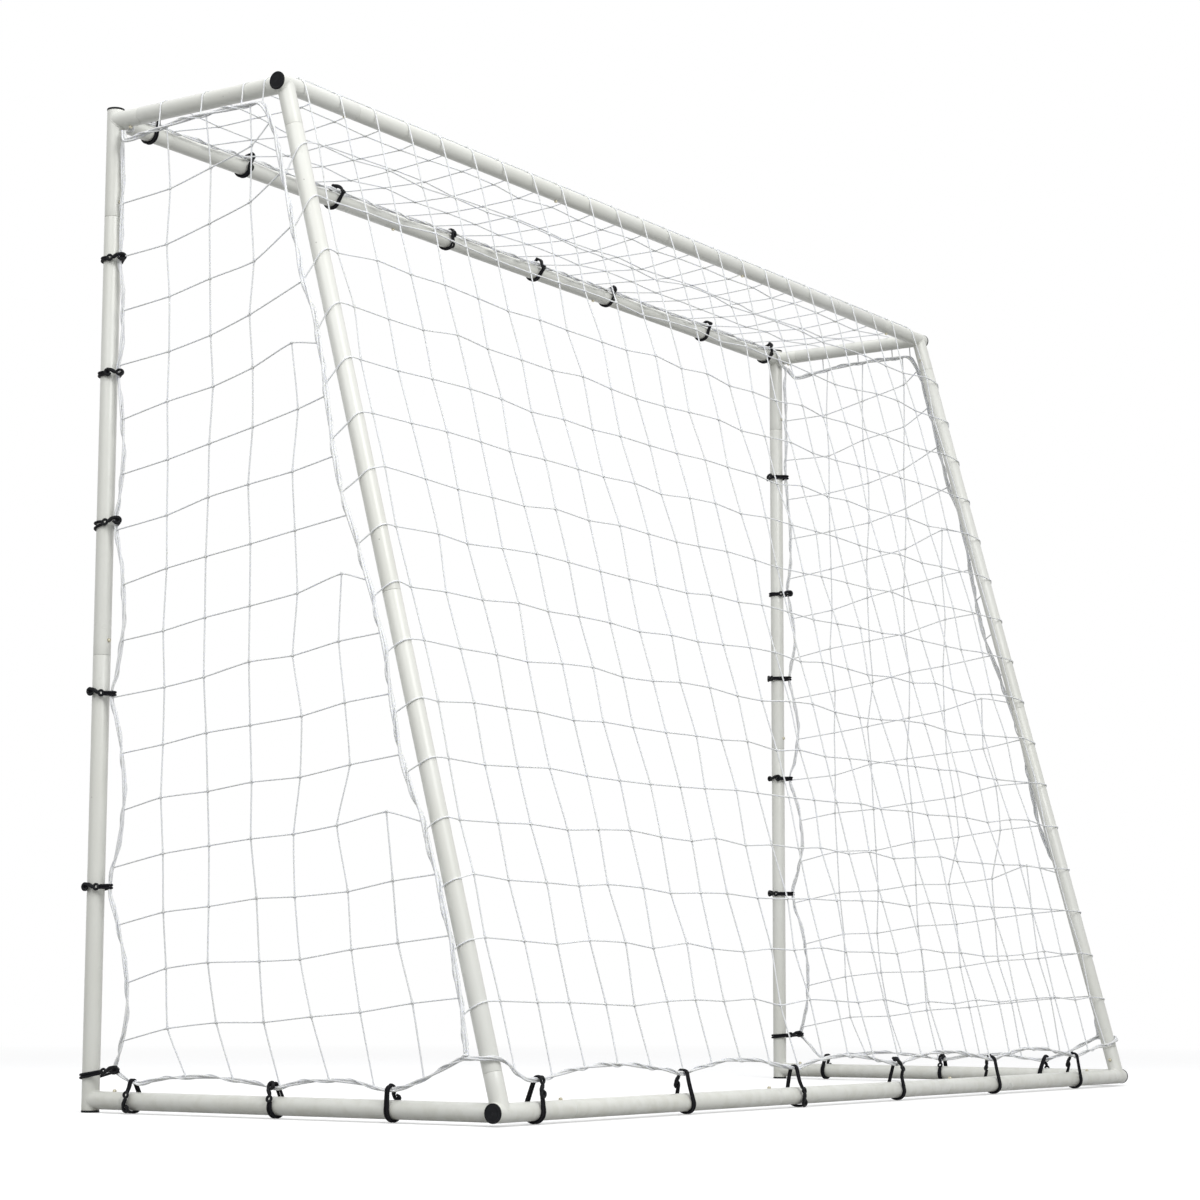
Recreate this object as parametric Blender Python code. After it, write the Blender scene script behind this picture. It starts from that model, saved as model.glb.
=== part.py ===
"""Steel football goal with a draped net.

Frame: +X along the crossbar, +Y from the mouth to the rear, +Z up, origin on the floor under the middle.
Left is the side at -X and right the side at +X, as seen from the pitch in front of the mouth.
"""

import math
from collections import namedtuple

import bmesh
import bpy
from mathutils import Matrix, Vector

# Overall layout, measured between tube axes
MOUTH_WIDTH = 2.44
MOUTH_HEIGHT = 1.80
TOP_DEPTH = 0.41
GROUND_DEPTH = 0.90

# Tube and joints
TUBE_DIAMETER = 0.032
TUBE_WALL = 0.0015
PLUG_LENGTH = 0.046
PLUG_TAPER = 0.004
CLEARANCE = 0.0003
TUBE_SIDES = 12
WELD_RELIEF = 0.0001
BAR_END_OVERHANG = 0.0205
POST_TOP_OVERHANG = 0.0195

# Distances from a corner's axis to the seams
POST_TOP_SEAM = 0.185
POST_MIDDLE_SEAM = 1.003
CROSSBAR_SEAM = 0.815
SIDE_TOP_SEAM = 0.065
SIDE_GROUND_SEAM = 0.085
REAR_BAR_SEAM = 0.196
STAY_TOP_SEAM = 0.085
STAY_MIDDLE_SEAM = 0.970
STAY_FOOT_SEAM = 0.066

# Snap buttons
BUTTON_DIAMETER = 0.0068
BUTTON_SETBACK = 0.027
BUTTON_PROUD = 0.0040
BUTTON_DOME = 0.0014
BUTTON_SIDES = 8
LEAF_DEPTH = 0.0050
LEAF_WIDTH = 0.0080
LEAF_LENGTH = 0.022
LEAF_THICKNESS = 0.0008

# End caps
CAP_LIP = 0.0035
CAP_PROUD = 0.0005
CAP_CHAMFER = 0.0008
CAP_SHANK = 0.010

# Ties: an elastic loop round the bar and the net's rope
TIE_THICKNESS = 0.0050
TIE_WIDTH = 0.0080
TIE_SIDES = 8

# Net
STRAND = 0.0032
ROPE = 0.0080
NET_STANDOFF = 0.0190
SEAM_STANDOFF = 0.0220
TURN_STANDOFF = 0.0225
SEAM_LEAD = 0.026
SEAM_SAG = 0.008
SEAM_DROP = 0.032
CORNER_RELIEF = 0.050
POST_ROPE_NEAR = 0.025
POST_ROPE_FAR = 0.046
SIDE_ROPE_NEAR = 0.040
SIDE_ROPE_FAR = 0.052
SIDE_ROPE_OUT = 0.004
REAR_ROPE_NEAR = 0.044
REAR_ROPE_FAR = 0.068
ROPE_SIDES = 6
LATTICE_LIFT = 0.0100
NET_CORNER_HEIGHT = 0.092
REAR_ROWS = 9
TOP_ROWS = 2
PANEL_JOIN_ANGLE = 34
CREST_ANGLES = (72, 45)
END_CREST_ANGLES = (100, 70)

# Tie places, hand tied, as shares of each bar's length between its corners: down each post from
# the top, along the bars from the right-hand corner, and along the sides from the front
LEFT_POST_TIES = (0.1717, 0.3389, 0.4583, 0.5989, 0.7589, 0.9517)
RIGHT_POST_TIES = (0.1478, 0.2683, 0.4217, 0.5972, 0.7900, 0.9706)
CROSSBAR_TIES = (0.0377, 0.1480, 0.2615, 0.4201, 0.5566, 0.6775, 0.8516, 0.9754)
REAR_TIES = (0.0377, 0.2225, 0.3816, 0.5500, 0.7266, 0.8975)
LEFT_SIDE_TIES = (0.1456, 0.5011, 0.7922)
RIGHT_SIDE_TIES = (0.1156, 0.4778, 0.7567)

# Derived places
TUBE_RADIUS = TUBE_DIAMETER / 2
BORE_RADIUS = TUBE_RADIUS - TUBE_WALL
PLUG_RADIUS = BORE_RADIUS - CLEARANCE
PLUG_BORE = PLUG_RADIUS - TUBE_WALL
CORNER_FACTOR = 1 / math.cos(math.pi / TUBE_SIDES)
TIE_OFFSET = TUBE_RADIUS * CORNER_FACTOR + CLEARANCE + TIE_THICKNESS / 2
GROUND_Z = TIE_OFFSET + TIE_THICKNESS / 2
TOP_Z = GROUND_Z + MOUTH_HEIGHT
FRONT_Y = -GROUND_DEPTH / 2
REAR_TOP_Y = FRONT_Y + TOP_DEPTH
REAR_GROUND_Y = FRONT_Y + GROUND_DEPTH
SIDE_X = MOUTH_WIDTH / 2
STAY_LENGTH = math.hypot(MOUTH_HEIGHT, GROUND_DEPTH - TOP_DEPTH)
STAY_LEAN = math.atan2(GROUND_DEPTH - TOP_DEPTH, MOUTH_HEIGHT)

Seam = namedtuple("Seam", "name point toward_plug button_faces outer inner")

RIGHT = Vector((1, 0, 0))
REAR = Vector((0, 1, 0))
UP = Vector((0, 0, 1))
DOWN_STAY = Vector((0, math.sin(STAY_LEAN), -math.cos(STAY_LEAN)))
OFF_STAY = Vector((0, math.cos(STAY_LEAN), math.sin(STAY_LEAN)))
SIDES = (("left", -1), ("right", 1))


def clear_scene():
    """Remove every object that the file starts with."""
    for item in list(bpy.data.objects):
        bpy.data.objects.remove(item, do_unlink=True)


def finish(name, colour, roughness, metallic):
    """A Principled material."""
    material = bpy.data.materials.new(name)
    material.use_nodes = True
    shader = material.node_tree.nodes["Principled BSDF"]
    shader.inputs["Base Color"].default_value = (*colour, 1)
    shader.inputs["Roughness"].default_value = roughness
    shader.inputs["Metallic"].default_value = metallic
    return material


def add_object(name, mesh, material=None):
    """Link a mesh to the scene as a named object."""
    item = bpy.data.objects.new(name, mesh)
    bpy.context.scene.collection.objects.link(item)
    if material and not mesh.materials:
        mesh.materials.append(material)
    return item


def to_mesh(name, shape, smooth=True):
    """Turn a bmesh into a mesh datablock, with creases kept sharp."""
    bmesh.ops.recalc_face_normals(shape, faces=shape.faces)
    mesh = bpy.data.meshes.new(name)
    shape.to_mesh(mesh)
    shape.free()
    if smooth:
        mesh.shade_smooth()
        mesh.set_sharp_from_angle(angle=math.radians(35))
    return mesh


def turned(name, profile, hollow, sides=TUBE_SIDES, phase=0.5):
    """Turn a profile of (along, radius) pairs round +Z, with flats at the true radius.

    A hollow profile is a closed loop; a solid one gets a flat face at each end. The first corner
    stands at a phase, in sides, from +X.
    """
    shape = bmesh.new()
    factor = 1 / math.cos(math.pi / sides)
    rings = []
    for along, radius in profile:
        ring = []
        for side in range(sides):
            angle = (side + phase) * math.tau / sides
            reach = radius * factor
            ring.append(shape.verts.new((reach * math.cos(angle), reach * math.sin(angle), along)))
        rings.append(ring)
    pairs = list(zip(rings, rings[1:]))
    if hollow:
        pairs.append((rings[-1], rings[0]))
    else:
        shape.faces.new(rings[0])
        shape.faces.new(rings[-1])
    for lower, upper in pairs:
        for side in range(sides):
            after = (side + 1) % sides
            shape.faces.new((lower[side], lower[after], upper[after], upper[side]))
    return to_mesh(name, shape)


def place(item, point, axis):
    """Put an object's origin at a point with its +Z along an axis."""
    item.location = point
    item.rotation_mode = "QUATERNION"
    item.rotation_quaternion = axis.to_track_quat("Z", "Y")
    return item


def boolean(target, tool, operation):
    """Join a tool to a target or cut it away, and keep the tool out of the finished goal."""
    modifier = target.modifiers.new(tool.name, "BOOLEAN")
    modifier.operation = operation
    modifier.object = tool
    tool.hide_render = True
    tool.display_type = "WIRE"


def outside_profile(length, plug_start, plug_end, radius=TUBE_RADIUS):
    """Outer outline of a tube between its two seams, with a swaged plug where asked."""
    shoulder = [(CLEARANCE, PLUG_RADIUS), (CLEARANCE, radius)]
    start = [(-PLUG_LENGTH, PLUG_RADIUS)] + shoulder if plug_start else [(0, radius)]
    end = [(-PLUG_LENGTH, PLUG_RADIUS)] + shoulder if plug_end else [(0, radius)]
    return start + [(length - along, radius) for along, radius in reversed(end)]


def bore_profile(length, plug_start, plug_end, margin=0.0):
    """Bore of a tube between its two seams, run past its ends by a margin."""
    neck = [(PLUG_TAPER, PLUG_BORE), (2 * PLUG_TAPER, BORE_RADIUS)]
    start = [(-PLUG_LENGTH - margin, PLUG_BORE)] + neck if plug_start else [(-margin, BORE_RADIUS)]
    end = [(-PLUG_LENGTH - margin, PLUG_BORE)] + neck if plug_end else [(-margin, BORE_RADIUS)]
    return start + [(length - along, radius) for along, radius in reversed(end)]


def straight_tube(name, start, end, plug_start, plug_end, material):
    """A plain length of tube whose ends are bare or swaged down into a plug."""
    run = end - start
    profile = outside_profile(run.length, plug_start, plug_end)
    profile += reversed(bore_profile(run.length, plug_start, plug_end))
    item = add_object(name, turned(name, profile, hollow=True), material)
    return place(item, start, run.normalized())


def welded_corner(name, start, end, plug_end, arms, material):
    """A through tube with tubes welded square or slanting to its side.

    Each arm is (root on the through tube's axis, far end, whether its end is swaged).
    """
    run = end - start
    outline = outside_profile(run.length, False, plug_end)
    item = add_object(name, turned(name, outline, hollow=False), material)
    place(item, start, run.normalized())
    cutters = [(start, run, bore_profile(run.length, False, plug_end, margin=TUBE_RADIUS))]
    for root, tip, plugged in arms:
        reach = tip - root
        outline = outside_profile(reach.length, False, plugged, TUBE_RADIUS - WELD_RELIEF)
        mesh = turned(name + "_arm", outline, hollow=False)
        boolean(item, place(add_object(name + "_arm", mesh), root, reach.normalized()), "UNION")
        inner = reach.normalized() * TUBE_RADIUS
        bore = bore_profile(reach.length - TUBE_RADIUS, False, plugged, margin=TUBE_RADIUS)
        bore[0] = (0, BORE_RADIUS)
        cutters.append((root + inner, reach - inner, bore))
    for origin, direction, profile in cutters:
        tool = add_object(name + "_bore", turned(name + "_bore", profile, hollow=False))
        boolean(item, place(tool, origin, direction.normalized()), "DIFFERENCE")
    return item


def end_cap(name, point, outward, material):
    """A plastic cap pushed into a bare tube end, with a chamfered lip that covers the rim."""
    profile = [
        (-CAP_SHANK, PLUG_RADIUS),
        (CLEARANCE, PLUG_RADIUS),
        (CLEARANCE, TUBE_RADIUS + CAP_PROUD),
        (CLEARANCE + CAP_LIP - CAP_CHAMFER, TUBE_RADIUS + CAP_PROUD),
        (CLEARANCE + CAP_LIP, TUBE_RADIUS + CAP_PROUD - CAP_CHAMFER),
    ]
    return place(add_object(name, turned(name, profile, hollow=False), material), point, outward)


def snap_button_mesh(material):
    """A domed pin on the end of its spring leaf; +Z is outward and the origin is on the tube's surface."""
    radius = BUTTON_DIAMETER / 2
    leaf_top = -LEAF_DEPTH
    profile = [
        (leaf_top - LEAF_THICKNESS / 2, radius),
        (BUTTON_PROUD - BUTTON_DOME, radius),
        (BUTTON_PROUD, radius * 0.5),
    ]
    pin = add_object("snap_button_pin", turned("snap_button_pin", profile, False, BUTTON_SIDES, 0))
    shape = bmesh.new()
    bmesh.ops.create_cube(shape, size=1)
    bmesh.ops.scale(shape, vec=(LEAF_LENGTH, LEAF_WIDTH, LEAF_THICKNESS), verts=shape.verts)
    shift = Vector((LEAF_LENGTH / 2 - LEAF_WIDTH / 2, 0, leaf_top - LEAF_THICKNESS / 2))
    bmesh.ops.translate(shape, vec=shift, verts=shape.verts)
    leaf = add_object("snap_button_leaf", to_mesh("snap_button_leaf", shape, smooth=False))
    boolean(leaf, pin, "UNION")
    leaf.hide_render = True
    leaf.display_type = "WIRE"
    bpy.context.view_layer.update()
    built = leaf.evaluated_get(bpy.context.evaluated_depsgraph_get())
    mesh = bpy.data.meshes.new_from_object(built)
    mesh.materials.clear()
    mesh.materials.append(material)
    return mesh


def button_turn(toward_plug, faces):
    """Rotation that points a button outward with its leaf lying toward the plug's tip."""
    leaf = -toward_plug
    side = faces.cross(leaf)
    return Matrix((leaf, side, faces)).transposed().to_quaternion()


def add_button(seam, mesh):
    """Stand a snap button in its joint and drill both tubes for it."""
    surface = seam.point - seam.toward_plug * BUTTON_SETBACK + seam.button_faces * TUBE_RADIUS
    button = add_object("button_" + seam.name, mesh)
    button.location = surface
    button.rotation_mode = "QUATERNION"
    button.rotation_quaternion = button_turn(seam.toward_plug, seam.button_faces)
    hole_radius = BUTTON_DIAMETER / 2 + CLEARANCE
    depth = TUBE_RADIUS - PLUG_BORE + 2 * TUBE_WALL
    hole = [(-depth, hole_radius), (TUBE_WALL, hole_radius)]
    for tube in (seam.outer, seam.inner):
        tool = add_object("hole_" + seam.name, turned("hole_" + seam.name, hole, False, BUTTON_SIDES, 0))
        tool.location = surface
        tool.rotation_mode = "QUATERNION"
        tool.rotation_quaternion = button.rotation_quaternion
        boolean(tube, tool, "DIFFERENCE")


def corner_points(sign):
    """Axis crossings on one side of the goal."""
    front_top = Vector((sign * SIDE_X, FRONT_Y, TOP_Z))
    front_foot = Vector((sign * SIDE_X, FRONT_Y, GROUND_Z))
    rear_top = Vector((sign * SIDE_X, REAR_TOP_Y, TOP_Z))
    rear_foot = Vector((sign * SIDE_X, REAR_GROUND_Y, GROUND_Z))
    return front_top, front_foot, rear_top, rear_foot


def build_side(side, sign, steel, seams):
    """Posts, stays and corners of one side."""
    front_top, front_foot, rear_top, rear_foot = corner_points(sign)
    inward = -sign * RIGHT
    post_top_seam = front_top - UP * POST_TOP_SEAM
    post_middle_seam = front_top - UP * POST_MIDDLE_SEAM
    crossbar_seam = front_top + inward * CROSSBAR_SEAM
    side_top_seam = front_top + REAR * SIDE_TOP_SEAM
    side_ground_seam = front_foot + REAR * SIDE_GROUND_SEAM
    stay_top_seam = rear_top + DOWN_STAY * STAY_TOP_SEAM
    stay_middle_seam = rear_top + DOWN_STAY * STAY_MIDDLE_SEAM
    stay_foot_seam = rear_foot - DOWN_STAY * STAY_FOOT_SEAM

    front_corner = welded_corner(
        f"front_top_corner_{side}", front_top + UP * POST_TOP_OVERHANG, post_top_seam, False,
        [(front_top, crossbar_seam, True), (front_top, side_top_seam, False)], steel)
    upper_post = straight_tube(
        f"upper_post_{side}", post_top_seam, post_middle_seam, True, False, steel)
    foot_end = Vector((front_foot.x, front_foot.y, CAP_LIP + CLEARANCE))
    lower_post = welded_corner(
        f"lower_post_{side}", foot_end, post_middle_seam, True,
        [(front_foot, side_ground_seam, False)], steel)
    rear_top_corner = welded_corner(
        f"rear_top_corner_{side}", rear_top - inward * BAR_END_OVERHANG, rear_top + inward * REAR_BAR_SEAM,
        False, [(rear_top, side_top_seam, True), (rear_top, stay_top_seam, False)], steel)
    upper_stay = straight_tube(
        f"upper_stay_{side}", stay_top_seam, stay_middle_seam, True, False, steel)
    lower_stay = straight_tube(
        f"lower_stay_{side}", stay_middle_seam, stay_foot_seam, True, True, steel)
    rear_ground_corner = welded_corner(
        f"rear_ground_corner_{side}", rear_foot - inward * BAR_END_OVERHANG,
        rear_foot + inward * REAR_BAR_SEAM, False,
        [(rear_foot, side_ground_seam, True), (rear_foot, stay_foot_seam, False)], steel)
    seams += [
        Seam(f"post_top_{side}", post_top_seam, -UP, REAR, front_corner, upper_post),
        Seam(f"post_middle_{side}", post_middle_seam, -UP, REAR, upper_post, lower_post),
        Seam(f"side_top_{side}", side_top_seam, REAR, -UP, front_corner, rear_top_corner),
        Seam(f"side_ground_{side}", side_ground_seam, REAR, UP, lower_post, rear_ground_corner),
        Seam(f"stay_top_{side}", stay_top_seam, DOWN_STAY, inward, rear_top_corner, upper_stay),
        Seam(f"stay_middle_{side}", stay_middle_seam, DOWN_STAY, inward, upper_stay, lower_stay),
        Seam(f"stay_foot_{side}", stay_foot_seam, -DOWN_STAY, inward, rear_ground_corner, lower_stay),
    ]
    return front_corner, rear_top_corner, rear_ground_corner


def build_caps(side, sign, plastic):
    """The four black end caps of one side."""
    front_top, front_foot, rear_top, rear_foot = corner_points(sign)
    outward = sign * RIGHT
    end_cap(f"cap_post_top_{side}", front_top + UP * POST_TOP_OVERHANG, UP, plastic)
    end_cap(f"cap_foot_{side}", Vector((front_foot.x, FRONT_Y, CAP_LIP + CLEARANCE)), -UP, plastic)
    end_cap(f"cap_rear_top_{side}", rear_top + outward * BAR_END_OVERHANG, outward, plastic)
    end_cap(f"cap_rear_ground_{side}", rear_foot + outward * BAR_END_OVERHANG, outward, plastic)


def build_crossbar(corners, steel, seams):
    """The crossbar's middle tube, which takes a plug at both ends."""
    left_seam = Vector((-SIDE_X + CROSSBAR_SEAM, FRONT_Y, TOP_Z))
    right_seam = Vector((SIDE_X - CROSSBAR_SEAM, FRONT_Y, TOP_Z))
    middle = straight_tube("crossbar_middle", left_seam, right_seam, False, False, steel)
    seams.append(Seam("crossbar_left", left_seam, -RIGHT, -UP, middle, corners[0]))
    seams.append(Seam("crossbar_right", right_seam, RIGHT, -UP, middle, corners[1]))


def build_rear_bar(name, y, z, faces, corners, steel, seams):
    """Three equal tubes between two corner stubs; the middle one has a plug at both ends."""
    left_end = Vector((-SIDE_X + REAR_BAR_SEAM, y, z))
    right_end = Vector((SIDE_X - REAR_BAR_SEAM, y, z))
    third = (right_end - left_end) / 3
    left_seam = left_end + third
    right_seam = right_end - third
    left = straight_tube(f"{name}_left", left_end, left_seam, True, False, steel)
    middle = straight_tube(f"{name}_middle", left_seam, right_seam, True, True, steel)
    right = straight_tube(f"{name}_right", right_end, right_seam, True, False, steel)
    seams += [
        Seam(f"{name}_end_left", left_end, RIGHT, faces, corners[0], left),
        Seam(f"{name}_inner_left", left_seam, RIGHT, faces, left, middle),
        Seam(f"{name}_inner_right", right_seam, -RIGHT, faces, right, middle),
        Seam(f"{name}_end_right", right_end, -RIGHT, faces, corners[1], right),
    ]


def along_bar(shares, length):
    """Distances along a bar of a given length, from their shares of it."""
    return [share * length for share in shares]


def scallop(places, near, far):
    """Rope vertices along a bar: tied close to it at each place and standing off halfway between."""
    vertices = []
    for index, place_along in enumerate(places):
        if index:
            vertices.append(((places[index - 1] + place_along) / 2, far))
        vertices.append((place_along, near))
    return vertices


def between(first, last, count):
    """Points evenly spaced from first to last, both included."""
    return [first.lerp(last, index / count) for index in range(count + 1)]


def coons(top, bottom, front, rear):
    """Grid of points spanning four border curves that share their corners."""
    columns, rows = len(top) - 1, len(front) - 1
    grid = []
    for j in range(rows + 1):
        v = j / rows
        row = []
        for i in range(columns + 1):
            u = (top[i] - top[0]).length / (top[-1] - top[0]).length
            ruled = top[i].lerp(bottom[i], v) + front[j].lerp(rear[j], u)
            corners = top[0].lerp(top[-1], u).lerp(bottom[0].lerp(bottom[-1], u), v)
            row.append(ruled - corners)
        grid.append(row)
    return grid


def net_panel(name, grid, rope, material):
    """A knotless lattice over a grid of points, one strand to a grid line.

    A point may be None, which leaves a hole. Rope holds the (row, column) places of the thicker
    border rope.
    """
    shape = bmesh.new()
    places = {}
    for j, row in enumerate(grid):
        for i, point in enumerate(row):
            if point is not None:
                places[j, i] = shape.verts.new(point)
    for j, i in places:
        corners = [places.get(place) for place in ((j, i), (j, i + 1), (j + 1, i + 1), (j + 1, i))]
        if all(corners):
            shape.faces.new(corners)
    thick = [index for index, place in enumerate(places) if place in rope]
    thin = [index for index, place in enumerate(places) if place not in rope]
    mesh = bpy.data.meshes.new(name)
    shape.to_mesh(mesh)
    shape.free()
    item = add_object(name, mesh, material)
    group = item.vertex_groups.new(name="strand thickness")
    group.add(thin, STRAND / ROPE, "REPLACE")
    group.add(thick, 1.0, "REPLACE")
    wire = item.modifiers.new("strands", "WIREFRAME")
    wire.thickness = ROPE
    wire.offset = 0
    wire.use_boundary = True
    wire.use_replace = True
    wire.use_even_offset = False
    wire.vertex_group = group.name
    return item


def tie_loop(name, bar_point, bar_axis, rope_point, faces):
    """A closed elastic band round a bar, drawn out to a point round the rope that it holds.

    The band's flats stand square to the way it faces, so a tie under a ground bar lies flat.
    """
    toward = rope_point - bar_point
    toward -= bar_axis * toward.dot(bar_axis)
    reach = toward.length + ROPE / 4
    across = bar_axis.cross(faces)
    step = math.tau / TIE_SIDES
    spread = 1 / math.cos(step / 2)
    inner = (TIE_OFFSET - TIE_THICKNESS / 2) * spread
    loop = [(toward.normalized(), reach, reach + TIE_THICKNESS)]
    for index in range(1, TIE_SIDES - 1):
        angle = (index + 0.5) * step
        ray = faces * math.cos(angle) + across * math.sin(angle)
        loop.append((ray, inner, inner + TIE_THICKNESS * spread))
    shape = bmesh.new()
    rings = []
    for ray, inner, outer in loop:
        ring = []
        for distance, shift in ((inner, -0.5), (inner, 0.5), (outer, 0.5), (outer, -0.5)):
            ring.append(shape.verts.new(bar_point + ray * distance + bar_axis * shift * TIE_WIDTH))
        rings.append(ring)
    for ring, following in zip(rings, rings[1:] + rings[:1]):
        for corner in range(4):
            after = (corner + 1) % 4
            shape.faces.new((ring[corner], ring[after], following[after], following[corner]))
    return add_object(name, to_mesh(name, shape, smooth=False))


def tie_on(net, border, bar_point, bar_axis, faces):
    """Fuse a tie to a net where its border passes a place on a bar."""
    target = bar_point.dot(bar_axis)
    for start, end in zip(border, border[1:]):
        low, high = start.dot(bar_axis), end.dot(bar_axis)
        if min(low, high) - 1e-6 <= target <= max(low, high) + 1e-6:
            rope_point = start.lerp(end, (target - low) / (high - low))
            boolean(net, tie_loop("tie", bar_point, bar_axis, rope_point, faces), "UNION")
            return
    raise ValueError(f"{net.name} has no border beside a tie")


def rope_along(name, points, material):
    """A closed run of rope through points, square to its way at each."""
    shape = bmesh.new()
    rings = []
    for index, point in enumerate(points):
        before = points[max(index - 1, 0)]
        after = points[min(index + 1, len(points) - 1)]
        way = (after - before).normalized()
        side = way.cross(OFF_STAY).normalized()
        ring = []
        for corner in range(ROPE_SIDES):
            angle = corner * math.tau / ROPE_SIDES
            ray = OFF_STAY * math.cos(angle) + side * math.sin(angle)
            ring.append(shape.verts.new(point + ray * ROPE / 2))
        rings.append(ring)
    for ring, following in zip(rings, rings[1:]):
        for corner in range(ROPE_SIDES):
            after = (corner + 1) % ROPE_SIDES
            shape.faces.new((ring[corner], ring[after], following[after], following[corner]))
    shape.faces.new(rings[0])
    shape.faces.new(rings[-1])
    return add_object(name, to_mesh(name, shape), material)


def stay_point(fall):
    """Point on a stay's axis in the YZ plane, a given way down from the rear top bar."""
    return Vector((0, REAR_TOP_Y, TOP_Z)) + DOWN_STAY * fall


def seam_lead(fall):
    """How far a seam rope stands in front of the stay's axis: it bows forward between its ends."""
    start = SEAM_DROP + SEAM_LEAD
    share = (fall - start) / (STAY_LENGTH - NET_CORNER_HEIGHT - start)
    return SEAM_LEAD + SEAM_SAG * math.sin(math.pi * max(share, 0))


def turned_round_bars(grid, x, fall_end):
    """Carry a side panel's grid on over the side top bar and round behind the stay.

    The corner between them stays open for the end of the rear top bar.
    """
    columns = len(grid[0]) - 1
    reach = (Vector((x, FRONT_Y + CORNER_RELIEF, 0)), Vector((x, REAR_TOP_Y - CORNER_RELIEF, 0)))
    over = [point + UP * (TOP_Z + TURN_STANDOFF) for point in between(*reach, columns)]
    rows = [over + [None]]
    for j, row in enumerate(grid):
        fall = CORNER_RELIEF + (fall_end - CORNER_RELIEF) * j / (len(grid) - 1)
        behind = stay_point(fall) + OFF_STAY * TURN_STANDOFF
        behind.x = x
        rows.append(row + [behind])
    return rows


def build_side_net(side, sign, post_ties, side_ties, material):
    """Side panel: post rope, ground rope, and the seam rope under the side bar and before the stay.

    Past the seam rope it turns outside the side bar and the stay to meet the main panels.
    """
    seam_x = sign * (SIDE_X + SEAM_STANDOFF)
    rope_x = sign * (SIDE_X + SIDE_ROPE_OUT)
    top_front = Vector((seam_x, FRONT_Y + POST_ROPE_NEAR, TOP_Z - SEAM_DROP - POST_ROPE_NEAR / 2))
    ground = scallop(side_ties, SIDE_ROPE_NEAR, SIDE_ROPE_FAR)
    fall_end = STAY_LENGTH - NET_CORNER_HEIGHT
    foot = stay_point(fall_end) - OFF_STAY * SEAM_LEAD
    foot.x = seam_x
    bottom = [Vector((rope_x, FRONT_Y + along, GROUND_Z + height)) for along, height in ground] + [foot]

    front = [top_front]
    for along, offset in scallop(post_ties, POST_ROPE_NEAR, POST_ROPE_FAR):
        front.append(Vector((rope_x, FRONT_Y + offset, TOP_Z - along)))
    front[-1].z = max(front[-1].z, GROUND_Z + SIDE_ROPE_NEAR)
    front.append(bottom[0])

    rows = len(front) - 1
    rear = []
    for index in range(rows + 1):
        start = SEAM_DROP + SEAM_LEAD
        fall = start + (fall_end - start) * index / rows
        point = stay_point(fall) - OFF_STAY * seam_lead(fall)
        point.x = seam_x
        rear.append(point)

    run = bottom[-1].y - bottom[0].y
    top = []
    for point in bottom:
        share = (point.y - bottom[0].y) / run
        top.append(front[0].lerp(rear[0], share))
        top[-1].z += math.sin(math.pi * share) * POST_ROPE_NEAR / 2
    grid = coons(top, bottom, front, rear)
    grid = turned_round_bars(grid, seam_x, fall_end)
    last, edge = len(grid) - 1, len(bottom) - 1
    rope = {(1, i) for i in range(edge + 1)} | {(last, i) for i in range(edge + 2)}
    rope |= {(j, i) for j in range(1, last + 1) for i in (0, edge)}
    net = net_panel(f"net_{side}", grid, rope, material)
    post = Vector((sign * SIDE_X, FRONT_Y, 0))
    for along in post_ties:
        tie_on(net, front[1:-1], post + UP * (TOP_Z - along), UP, REAR)
    bar = Vector((sign * SIDE_X, 0, GROUND_Z))
    for along in side_ties:
        tie_on(net, bottom, bar + REAR * (FRONT_Y + along), REAR, UP)
    return net


def build_rear_net(columns, material):
    """Rear panel, behind the stays from the rear top bar down to just above its ground rope."""
    shoulder = math.radians(PANEL_JOIN_ANGLE)
    drape = (TUBE_RADIUS * CORNER_FACTOR + CLEARANCE + STRAND / 2) * 1.06
    start = Vector((0, REAR_TOP_Y + drape * math.cos(shoulder), TOP_Z + drape * math.sin(shoulder)))
    grid = []
    for row in range(REAR_ROWS + 1):
        part = row / REAR_ROWS
        points = []
        for x, height, turns in columns:
            end_fall = STAY_LENGTH - height - LATTICE_LIFT
            if turns:
                fall = CORNER_RELIEF + (end_fall - CORNER_RELIEF) * part
                point = stay_point(fall) + OFF_STAY * TURN_STANDOFF
            elif row == 0:
                point = start.copy()
            else:
                point = stay_point(end_fall * part) + OFF_STAY * NET_STANDOFF
            point.x = x
            points.append(point)
        grid.append(points)
    return net_panel("net_rear", grid, set(), material)


def build_rear_rope(columns, material):
    """The rear panel's ground rope, with the ties that hold it to the rear ground bar."""
    end_x = SIDE_X + SEAM_STANDOFF - ROPE / 2 - 2 * CLEARANCE
    points = []
    for x, height, turns in columns:
        off = TURN_STANDOFF if turns else NET_STANDOFF
        point = stay_point(STAY_LENGTH - height) + OFF_STAY * off
        point.x = math.copysign(end_x, x) if turns else x
        points.append(point)
    rope = rope_along("rope_rear_ground", points, material)
    for along in along_bar(REAR_TIES, MOUTH_WIDTH):
        tie_on(rope, points, Vector((SIDE_X - along, REAR_GROUND_Y, GROUND_Z)), RIGHT, UP)
    return rope


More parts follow.
